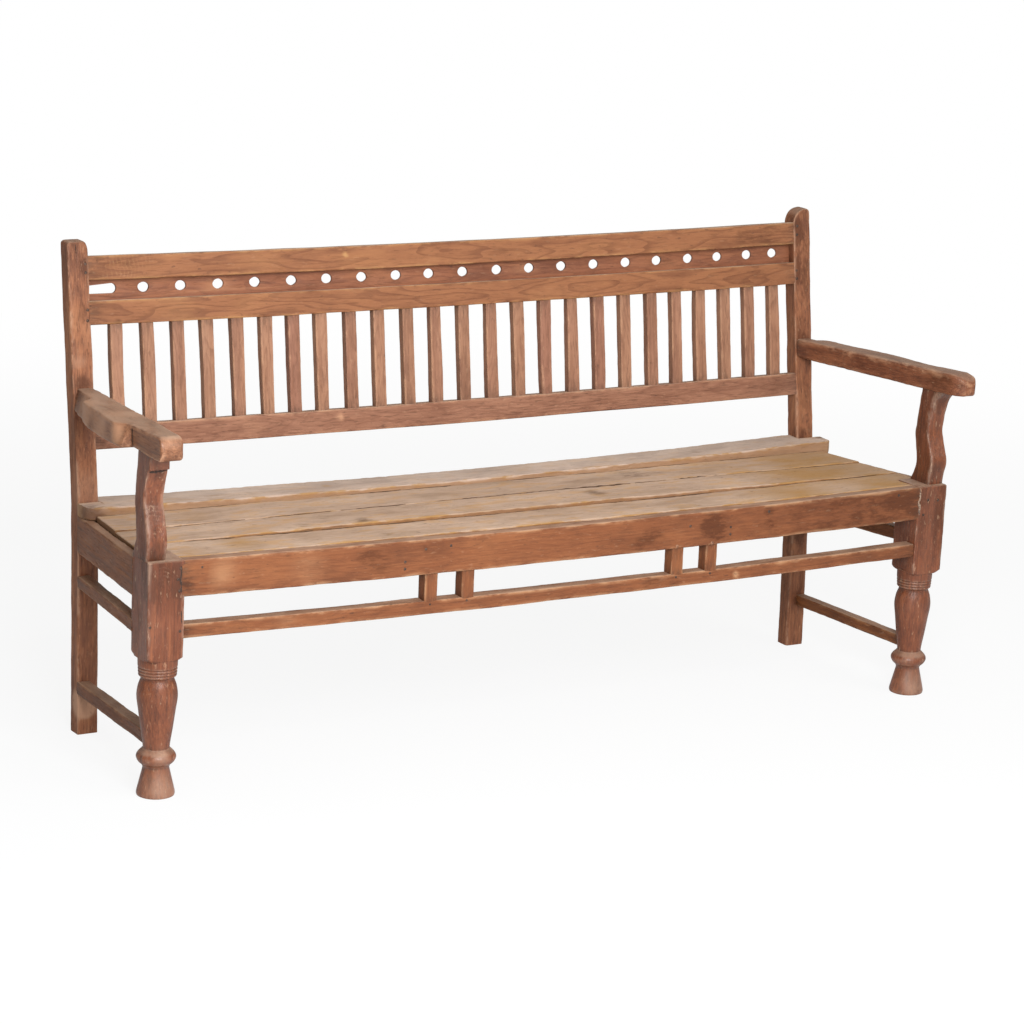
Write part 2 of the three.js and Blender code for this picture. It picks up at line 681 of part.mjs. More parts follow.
// Front leg
function smoothed(shares, heightFrom, heightTo, width) {
  const height = heightTo - heightFrom;
  const points = shares.map(([up, out]) => new THREE.Vector2(out * width, heightFrom + up * height));
  return new THREE.SplineCurve(points).getPoints(2 * (points.length - 1));
}

function turnedProfile() {
  const runs = [
    [FOOT_SHARES, footHeight, FOOT_RADIUS],
    [RING_SHARES, ringHeight, RING_RADIUS],
    [VASE_SHARES, vaseHeight, VASE_RADIUS],
    [COLLAR_SHARES, collarHeight, COLLAR_RADIUS],
  ];
  const profile = [];
  let bottom = 0;
  for (const [shares, height, radius] of runs) {
    const points = smoothed(shares, bottom, bottom + height, radius);
    profile.push(...(bottom > 0 ? points.slice(1) : points));
    bottom += height;
  }
  return profile;
}

function turned(profile, clearance = 0) {
  const outer = profile.map((point) => new THREE.Vector2(point.x + clearance, point.y));
  const foot = new THREE.Vector2(0, outer[0].y);
  const head = new THREE.Vector2(0, outer[outer.length - 1].y);
  const geometry = new THREE.LatheGeometry([foot, ...outer, head], LEG_SIDES);
  geometry.rotateX(Math.PI / 2);
  return geometry.translate(legAxisX, legAxisY, 0);
}

function supportOutline() {
  const top = armUndersideAt(0) - JOINT_GAP;
  const front = smoothed(SUPPORT_FRONT_SHARES, SEAT_HEIGHT, top, FRONT_POST_DEPTH);
  const rear = smoothed(SUPPORT_BACK_SHARES, SEAT_HEIGHT, top, FRONT_POST_DEPTH);
  const rooted = SEAT_HEIGHT - TENON_ROOT;
  return [
    [front[0].x, rooted],
    ...front.map((point) => [point.x, point.y]),
    ...rear.reverse().map((point) => [point.x, Math.min(point.y, armUndersideAt(point.x) - JOINT_GAP)]),
    [FRONT_POST_DEPTH - ARRIS_WIDTH, rooted],
  ];
}

const supportX = frontOuter - SUPPORT_THICKNESS / 2;
const supportTopY = FRONT_POST_DEPTH * SUPPORT_BACK_SHARES[SUPPORT_BACK_SHARES.length - 1][1] / 2;

function supportDowel(clearance) {
  const height = SUPPORT_DOWEL_LENGTH + TENON_ROOT + 2 * clearance;
  const radius = SUPPORT_DOWEL_RADIUS + clearance;
  const dowel = new THREE.CylinderGeometry(radius, radius, height, HOLE_SIDES);
  dowel.rotateX(Math.PI / 2);
  const middle = armUndersideAt(supportTopY) - TENON_ROOT + (SUPPORT_DOWEL_LENGTH + TENON_ROOT) / 2;
  return dowel.translate(supportX, supportTopY, middle);
}

function frontLeg(side) {
  const square = eased(rectangle(frontInner, frontOuter, 0, FRONT_POST_DEPTH), ARRIS_WIDTH);
  const post = solidOf(prism(alongZ, square, postBottom, SEAT_HEIGHT));
  const fullRadius = Math.hypot(FRONT_POST_WIDTH, FRONT_POST_DEPTH) / 2 + TURNING_INSET;
  const cornerTop = postBottom + POST_CORNER_HEIGHT;
  const corners = turned([
    new THREE.Vector2(POST_CORNER_RADIUS, postBottom),
    new THREE.Vector2(fullRadius, cornerTop),
    new THREE.Vector2(fullRadius, SEAT_HEIGHT + ARRIS_WIDTH),
  ]);
  const body = join(post.intersect(solidOf(corners)), [
    turned(turnedProfile()),
    prism(alongX, supportOutline(), frontOuter - SUPPORT_THICKNESS, frontOuter),
    supportDowel(0),
  ]);
  const fromFront = [frontApronTenon, stretcherTenon];
  const fromSide = [sideApronTenons[0], sideStretcherTenons(side)[0], lowTenons(side)[0]];
  return geometryOf(cut(body, [...fromFront, ...fromSide].map((box) => block(box, JOINT_GAP))));
}

// Arm: the side view and the plan are cut from one block
function armWidths(width) {
  const widths = [[0, ARM_ROOT_WIDTH], [ARM_NECK_LENGTH, ARM_NECK_WIDTH]];
  const ease = (from, to, start, length) => {
    for (let i = 1; i <= CURVE_DIVISIONS; i += 1) {
      const way = i / CURVE_DIVISIONS;
      widths.push([start + way * length, from + (to - from) * THREE.MathUtils.smoothstep(way, 0, 1)]);
    }
  };
  ease(ARM_NECK_WIDTH, width, ARM_NECK_LENGTH, ARM_STEP_LENGTH);
  widths.push([ARM_SHOULDER_START, width]);
  ease(width, ARM_FRONT_WIDTH, ARM_SHOULDER_START, ARM_SHOULDER_LENGTH);
  return widths;
}

function armInnerAt(y) {
  return backInner + ARM_ROOT_INSET + (armRootLine - y) * tangent(ARM_SPLAY_DEGREES);
}

function arm({ armWidth }) {
  const nose = -ARM_NOSE_REACH;
  const rearLow = armRootHeight;
  const rearHigh = armRootHeight + ARM_ROOT_THICKNESS;
  const topStart = nose + NOSE_TOP_LENGTH;
  const underStart = nose + NOSE_UNDER_LENGTH;
  const chin = armTopAt(topStart) - NOSE_TOP_HEIGHT;
  const sideOutline = [
    [postFaceAt(rearLow) - JOINT_GAP, rearLow],
    [postFaceAt(rearHigh) - JOINT_GAP, rearHigh],
    ...quarter([topStart, chin], [0, NOSE_TOP_HEIGHT], [-NOSE_TOP_LENGTH, 0], CURVE_DIVISIONS),
    ...quarter(
      [underStart, chin],
      [-NOSE_UNDER_LENGTH, 0],
      [0, armUndersideAt(underStart) - chin],
      CURVE_DIVISIONS,
    ).slice(1),
  ];
  const planRear = postFaceAt(rearHigh);
  const cornerY = nose + NOSE_CORNER_RADIUS;
  const inner = armInnerAt(nose);
  const outer = inner + ARM_FRONT_WIDTH;
  const plan = [
    [armInnerAt(planRear), planRear],
    [armInnerAt(cornerY), cornerY],
    [inner + NOSE_CORNER_RADIUS, nose],
    [outer - NOSE_CORNER_RADIUS, nose],
    [armInnerAt(cornerY) + ARM_FRONT_WIDTH, cornerY],
    ...armWidths(armWidth).reverse().map(([run, wide]) => {
      const y = armRootLine - run;
      return [armInnerAt(y) + wide, y];
    }),
    [armInnerAt(planRear) + ARM_ROOT_WIDTH, planRear],
  ];
  const profile = solidOf(prism(alongX, sideOutline, backInner, frontOuter + armWidth));
  const body = profile.intersect(solidOf(prism(alongZ, plan, 0, overallHeight)));
  return geometryOf(cut(join(body, [block(armTenon)]), [supportDowel(JOINT_GAP)]));
}

// Front and rear aprons and the front stretcher
function crossMember(halfSpan, y, z, drop, tenon, cutters) {
  const outline = eased(rectangle(...y, ...z), ARRIS_WIDTH);
  const body = solidOf(longPrism(outline, halfSpan - JOINT_GAP, drop));
  return geometryOf(cut(join(body, [block(tenon), block(acrossMiddle(tenon))]), cutters));
}

const balusterPlaces = [-BALUSTER_PAIR_PLACE, BALUSTER_PAIR_PLACE].flatMap((pair) => {
  const middle = pair + BALUSTER_PAIR_SHIFT;
  return [middle - BALUSTER_PITCH / 2, middle + BALUSTER_PITCH / 2];
});

function balusterTenons(place, clearance) {
  const half = BALUSTER_TENON_WIDTH / 2;
  const middle = STRETCHER_INSET + half + (APRON_THICKNESS - STRETCHER_INSET - BALUSTER_TENON_WIDTH) / 2;
  const drop = sagAt(place, APRON_SAG);
  const box = {
    x: [place - half, place + half],
    y: [middle - half, middle + half],
    z: [stretcherTop - BALUSTER_TENON_LENGTH - drop, apronBottom + BALUSTER_TENON_LENGTH - drop],
  };
  return block(box, clearance);
}

// The stretcher and apron drop alike, so a baluster's ends are cut to the slope they have there
function baluster(place) {
  const half = BALUSTER_WIDTH / 2;
  const square = rectangle(place - half, place + half, STRETCHER_INSET, STRETCHER_INSET + BALUSTER_WIDTH);
  const post = prism(alongZ, eased(square, ARRIS_WIDTH), stretcherTop + JOINT_GAP, apronBottom - JOINT_GAP);
  return geometryOf(join(solidOf(sagged(post, APRON_SAG)), [balusterTenons(place, 0)]));
}

const balusterHoles = balusterPlaces.map((place) => balusterTenons(place, JOINT_GAP));

// Side aprons and upper side stretchers
function sideMember(topAtFront, height, thickness, tenons) {
  const front = FRONT_POST_DEPTH + JOINT_GAP;
  const backTop = sideTopAt(topAtFront, kneeLine);
  const outline = [
    [front, topAtFront - height],
    [postFaceAt(backTop - height) - JOINT_GAP, backTop - height],
    [postFaceAt(backTop) - JOINT_GAP, backTop],
    [front, topAtFront],
  ];
  const body = laidAlongSide(prism(alongX, outline, -thickness, 0));
  return geometryOf(join(solidOf(body), tenons.map((box) => block(box))));
}

// Lower side stretcher, scribed to the turned leg
function lowStretcher(side) {
  const half = side.lowSize / 2;
  const rear = postFaceAt(side.lowBack) - JOINT_GAP;
  const outline = [
    [legAxisY, side.lowFront - half],
    [rear, side.lowBack - half],
    [rear, side.lowBack + half],
    [legAxisY, side.lowFront + half],
  ];
  const sideways = (backOuter - half - legAxisX) / (rear - legAxisY);
  const body = moved(prism(alongX, outline, -half, half), (point) => {
    point.x += legAxisX + sideways * (point.y - legAxisY);
  });
  const scribed = cut(solidOf(body), [turned(turnedProfile(), JOINT_GAP)]);
  return geometryOf(join(scribed, lowTenons(side).map((box) => block(box))));
}

// Seat: each board is a drooping plank trimmed to its plan
function bothSides(half) {
  const left = half.map(([x, y]) => [-x, y]).reverse();
  return [...half, ...left];
}

function trimmed(plank, plan) {
  return geometryOf(solidOf(plank).intersect(solidOf(prism(alongZ, plan, 0, overallHeight))));
}

function boardEndAt(y) {
  return sideFaceAt(y) - SIDE_APRON_THICKNESS - BOARD_GAP;
}

function plainBoard(front, width, drop) {
  const rear = front + width;
  const outline = [
    [front, seatTopAt(front) - BOARD_THICKNESS],
    [rear, seatTopAt(rear) - BOARD_THICKNESS],
    [rear, seatTopAt(rear)],
    [front, seatTopAt(front)],
  ];
  const notch = FRONT_POST_DEPTH + JOINT_GAP;
  const beside = frontInner - JOINT_GAP;
  const notched = [[beside, front], [beside, notch], [boardEndAt(notch), notch]];
  const frontEnd = front < notch ? notched : [[boardEndAt(front), front]];
  const plan = bothSides([...frontEnd, [boardEndAt(rear), rear]]);
  return trimmed(longPrism(eased(outline, ARRIS_WIDTH), frontOuter, drop), plan);
}

function rearBoard() {
  const rear = kneeLine + BACK_POST_DEPTH;
  const notch = postFaceAt(rearBoardBottom) - JOINT_GAP;
  const end = backOuter + REAR_BOARD_OVERHANG;
  const radius = REAR_BOARD_CORNER_RADIUS;
  const plan = bothSides([
    ...quarter([end - radius, rearBoardFront + radius], [0, -radius], [radius, 0], CURVE_DIVISIONS),
    [end, notch],
    [backInner - JOINT_GAP, notch],
    [backInner - JOINT_GAP, rear],
  ]);
  const outline = eased(rectangle(rearBoardFront, rear, rearBoardBottom, rearBoardTop), ARRIS_WIDTH);
  const plank = moved(longPrism(outline, end, 0), (point) => {
    const upper = point.z > (rearBoardBottom + rearBoardTop) / 2;
    point.z += upper ? REAR_BOARD_LEAN * point.x / end : 0;
  });
  return trimmed(sagged(plank, REAR_BOARD_SAG), plan);
}

// Hidden carriers under the boards
function ledger() {
  const front = FRONT_POST_DEPTH + JOINT_GAP;
  const topAt = (y) => seatTopAt(y) - BOARD_THICKNESS - JOINT_GAP;
  const rear = postFaceAt(topAt(kneeLine) - LEDGER_HEIGHT) - JOINT_GAP;
  const outline = [
    [front, topAt(front) - LEDGER_HEIGHT],
    [rear, topAt(rear) - LEDGER_HEIGHT],
    [rear, topAt(rear)],
    [front, topAt(front)],
  ];
  const outer = -SIDE_APRON_THICKNESS - JOINT_GAP;
  return geometryOf(solidOf(laidAlongSide(prism(alongX, outline, outer - LEDGER_WIDTH, outer))));
}

function bearer() {
  const half = BEARER_WIDTH / 2;
  const lowest = (front, drop) => seatTopAt(front) - BOARD_THICKNESS - sagAt(BEARER_PLACE - half, drop);
  const thirdRear = rearBoardFront - BOARD_GAP;
  const frontRear = APRON_THICKNESS + BOARD_GAP + frontBoardWidth;
  const top = Math.min(
    lowest(frontRear, FRONT_BOARD_SAG),
    lowest(thirdRear, THIRD_BOARD_SAG),
    rearBoardBottom - sagAt(BEARER_PLACE - half, REAR_BOARD_SAG),
  ) - JOINT_GAP;
  const section = eased(rectangle(top - BEARER_HEIGHT, top, -half, half), ARRIS_WIDTH);
  const rear = rearApronFront - JOINT_GAP;
  return geometryOf(solidOf(prism(alongY, section, APRON_THICKNESS + JOINT_GAP, rear)));
}

// Assembly: every piece of an end is drawn on the right, and turned over for the left
function endPieces(side) {
  const apron = [sideApronTop, SIDE_APRON_HEIGHT, SIDE_APRON_THICKNESS];
  const stretcher = [side.stretcherTop, side.stretcherHeight, SIDE_STRETCHER_THICKNESS];
  return [
    ['back_post', backPost(side), FRAME_WOOD],
    ['front_leg', frontLeg(side), FRAME_WOOD],
    ['arm', arm(side), FRAME_WOOD],
    ['side_apron', sideMember(...apron, sideApronTenons), FRAME_WOOD],
    ['upper_side_stretcher', sideMember(...stretcher, sideStretcherTenons(side)), FRAME_WOOD],
    ['lower_side_stretcher', lowStretcher(side), FRAME_WOOD],
    ['seat_ledger', ledger(), HIDDEN_WOOD],
  ];
}

for (const [piece, geometry, wood] of endPieces(SIDES.left)) {
  place(bench, `${piece}_left`, mirrored(geometry), wood);
}
for (const [piece, geometry, wood] of endPieces(SIDES.right)) {
  place(bench, `${piece}_right`, geometry, wood);
}

const groove = [panelSheet(JOINT_GAP)];
bench.add(back);
place(back, 'top_rail', backRail(topRailRise, TOP_RAIL_SAG, groove), BACK_WOOD);
place(back, 'mid_rail', backRail(midRailRise, MID_RAIL_SAG, [...groove, ...slatHoles]), BACK_WOOD);
place(back, 'lower_back_rail', backRail(lowerRailRise, LOWER_RAIL_SAG, slatHoles), BACK_WOOD);
place(back, 'perforated_panel', geometryOf(cut(solidOf(panelSheet(0)), panelHoles())), BACK_WOOD);
slatPlaces.forEach((placeX, i) => {
  const name = `slat_${String(i + 1).padStart(2, '0')}`;
  place(back, name, geometryOf(solidOf(slat(placeX, 0))), SLAT_WOOD).position.x = placeX;
});

const apronY = [0, APRON_THICKNESS];
const apronZ = [apronBottom, SEAT_HEIGHT];
const apron = crossMember(frontInner, apronY, apronZ, APRON_SAG, frontApronTenon, balusterHoles);
place(bench, 'front_apron', apron, APRON_WOOD);
const stretcherY = [STRETCHER_INSET, STRETCHER_INSET + STRETCHER_DEPTH];
const stretcherZ = [stretcherBottom, stretcherTop];
const stretcher = crossMember(frontInner, stretcherY, stretcherZ, APRON_SAG, stretcherTenon, balusterHoles);
place(bench, 'front_stretcher', stretcher, APRON_WOOD);
const rearApronY = [rearApronFront, rearApronFront + APRON_THICKNESS];
const rearApronZ = [rearApronTop - REAR_APRON_HEIGHT, rearApronTop];
const rearApron = crossMember(backInner, rearApronY, rearApronZ, REAR_BOARD_SAG, rearApronTenon, []);
place(bench, 'rear_apron', rearApron, HIDDEN_WOOD);
balusterPlaces.forEach((placeX, i) => {
  place(bench, `short_baluster_${i + 1}`, baluster(placeX), APRON_WOOD);
});

const firstFront = APRON_THICKNESS + BOARD_GAP;
const secondFront = firstFront + frontBoardWidth + BOARD_GAP;
const thirdFront = secondFront + secondBoardWidth + BOARD_GAP;
place(bench, 'seat_board_front', plainBoard(firstFront, frontBoardWidth, FRONT_BOARD_SAG), SEAT_WOOD);
place(bench, 'seat_board_second', plainBoard(secondFront, secondBoardWidth, SECOND_BOARD_SAG), SEAT_WOOD);
place(bench, 'seat_board_third', plainBoard(thirdFront, thirdBoardWidth, THIRD_BOARD_SAG), SEAT_WOOD);
place(bench, 'seat_board_rear', rearBoard(), SEAT_WOOD);
place(bench, 'cross_bearer_left', bearer(), HIDDEN_WOOD).position.x = -BEARER_PLACE;
place(bench, 'cross_bearer_right', bearer(), HIDDEN_WOOD).position.x = BEARER_PLACE;

// Centre the bench over the origin
const extent = new THREE.Box3().setFromObject(bench);
bench.position.y = -(extent.min.y + extent.max.y) / 2;

export default bench;
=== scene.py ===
# %% [markdown]
# # An old slat-back bench
# The packed model gives every piece of the bench at its true size and place. This lesson dresses
# it: each stick, board and turning is made again with rounded, unevenly worn edges, and gets a
# wood finish worked out from nodes. Nothing is moved, so the dressed bench still fits the frame.

# %% Load the packed model
import math

import bmesh
import bpy
import numpy as np
from mathutils import Matrix, Vector, noise


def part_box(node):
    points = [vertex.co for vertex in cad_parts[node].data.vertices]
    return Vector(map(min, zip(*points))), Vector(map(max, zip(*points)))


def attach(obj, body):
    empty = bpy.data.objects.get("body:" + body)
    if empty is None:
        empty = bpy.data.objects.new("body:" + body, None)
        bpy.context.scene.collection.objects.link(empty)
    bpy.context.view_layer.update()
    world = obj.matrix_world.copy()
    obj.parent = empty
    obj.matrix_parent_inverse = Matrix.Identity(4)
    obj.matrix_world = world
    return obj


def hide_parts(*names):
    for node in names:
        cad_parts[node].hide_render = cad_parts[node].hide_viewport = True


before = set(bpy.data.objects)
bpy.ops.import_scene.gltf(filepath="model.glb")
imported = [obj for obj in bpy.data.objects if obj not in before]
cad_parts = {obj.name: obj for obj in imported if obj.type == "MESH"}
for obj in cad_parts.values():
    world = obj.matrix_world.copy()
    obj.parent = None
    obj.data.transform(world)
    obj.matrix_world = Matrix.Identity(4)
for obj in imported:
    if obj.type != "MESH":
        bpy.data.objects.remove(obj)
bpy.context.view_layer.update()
print("packed pieces:", len(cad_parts))

# %% [markdown]
# ## Drawing in millimetres
# A joiner thinks in millimetres from the front of the bench, so the pieces are drawn that way:
# X along the bench, Y back from the front of the apron, Z up. One helper turns such points into
# the scene's metres. The packed front apron says where the front is.

# %% Bench measures to scene measures
MM = 0.001
FRONT_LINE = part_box("front_apron")[0].y


def in_scene(x, y, z):
    """Bench points in millimetres, as scene points in metres."""
    x, y, z = np.broadcast_arrays(x, y, z)
    return np.stack([x * MM, y * MM + FRONT_LINE, z * MM], axis=-1)


print("front of the bench at y =", round(FRONT_LINE, 4))

# %% [markdown]
# ## Seeded unevenness
# Hand-worked wood is never quite straight. Blender's own Perlin noise gives the same value at the
# same place each time, which makes it safer than random numbers for wear that has to repeat.

# %% Smooth unevenness along a piece
SEED_STEPS = (3.7, 1.3)


def wander(places, length, seed):
    """Smooth values from about -1 to 1 along a piece, one hump for each length of it."""
    aside, above = (seed * step for step in SEED_STEPS)
    return np.array([2 * noise.noise(Vector((place / length, aside, above))) for place in places])


print("sample of wear:", wander([0, 40, 80], 60, 1).round(2))

# %% [markdown]
# ## Rounded sticks
# Nearly every piece is a stick with a rectangular section. It could be a cube with a Bevel
# modifier, but then every edge would be equally crisp. Instead each section is drawn as a ring of
# points with its own corner radii, and the rings are stitched into a skin. The ring also knows
# how near each point is to an edge, which the finish uses later to rub the colour through.

# %% Rings of points round a rectangle
ARC_STEPS = 4
FLAT_MARGIN = 4.0
FLAT_SHARES = (0.2, 0.35, 0.5, 0.65, 0.8)
EDGE_START = 0.55


def rounded_rings(low_a, high_a, low_b, high_b, radii):
    """Rows of ring points, and how near each column is to an edge.

    Every argument has a value for each station.
    """
    corners = ((1, 1, 0), (-1, 1, 90), (-1, -1, 180), (1, -1, 270))
    arcs = []
    for (side_a, side_b, start), radius in zip(corners, radii):
        centre_a = (high_a if side_a > 0 else low_a) - side_a * radius
        centre_b = (high_b if side_b > 0 else low_b) - side_b * radius
        arc = []
        for step in range(ARC_STEPS + 1):
            turn = math.radians(start + 90 * step / ARC_STEPS)
            arc.append((centre_a + radius * math.cos(turn), centre_b + radius * math.sin(turn)))
        arcs.append(arc)
    columns, nearness = [], []
    for arc, following in zip(arcs, arcs[1:] + arcs[:1]):
        columns += arc
        nearness += [EDGE_START] + [1.0] * (ARC_STEPS - 1) + [EDGE_START]
        (a0, b0), (a1, b1) = arc[-1], following[0]
        run = np.hypot(a1 - a0, b1 - b0)
        margin = np.minimum(FLAT_MARGIN, run / 4) / np.maximum(run, 0.01)
        for share in (margin, *FLAT_SHARES, 1 - margin):
            columns.append((a0 + (a1 - a0) * share, b0 + (b1 - b0) * share))
            nearness.append(0.0)
    rows_a = np.stack([column[0] for column in columns], axis=1)
    rows_b = np.stack([column[1] for column in columns], axis=1)
    return rows_a, rows_b, np.array(nearness)


print("points in a ring:", 4 * (ARC_STEPS + len(FLAT_SHARES) + 3))

# %% [markdown]
# The radius of each edge drifts along the piece: slow wear from hands and legs, and quicker small
# knocks. It never falls to nothing, so no edge is razor sharp.

# %% Worn edge radii
SLOW_WEAR = 90
QUICK_WEAR = 16
SLOW_SHARE = 0.45
LEAST_SHARE = 0.25
EDGE_SEED = 0.31


def worn_radii(stations, radius, limit, seed, knocks=0.3):
    """Four rows of edge radii, one row for each long edge."""
    rows = []
    for edge in range(4):
        slow = wander(stations, SLOW_WEAR, seed + edge * EDGE_SEED)
        quick = wander(stations, QUICK_WEAR, seed + 5 + edge * EDGE_SEED)
        row = radius * (1 + SLOW_SHARE * slow + knocks * quick)
        rows.append(np.clip(row, LEAST_SHARE * radius, limit))
    return rows


print("edge radii of a 3 mm edge:", worn_radii([0, 100, 200], 3, 10, 2)[0].round(2))

# %% [markdown]
# ## Stains, and painted light and shade
# Stains tell how a bench was used. Each spot is a place (x, y, z), a radius and a strength: above zero the
# wood is darkened, below zero it is rubbed pale. Not every spot is a stain: wide ones towards the right end
# paint the shade where the light falls off there, small dark ones paint shade under the arms and on the
# outer side of the left leg, and pale ones paint light on the outer side of the left arm. They are kept per
# piece, and every point of a piece gets its share of them, which the finish later breaks up with noise. Tool
# marks are given in the same way: they say where saw and plane still show.

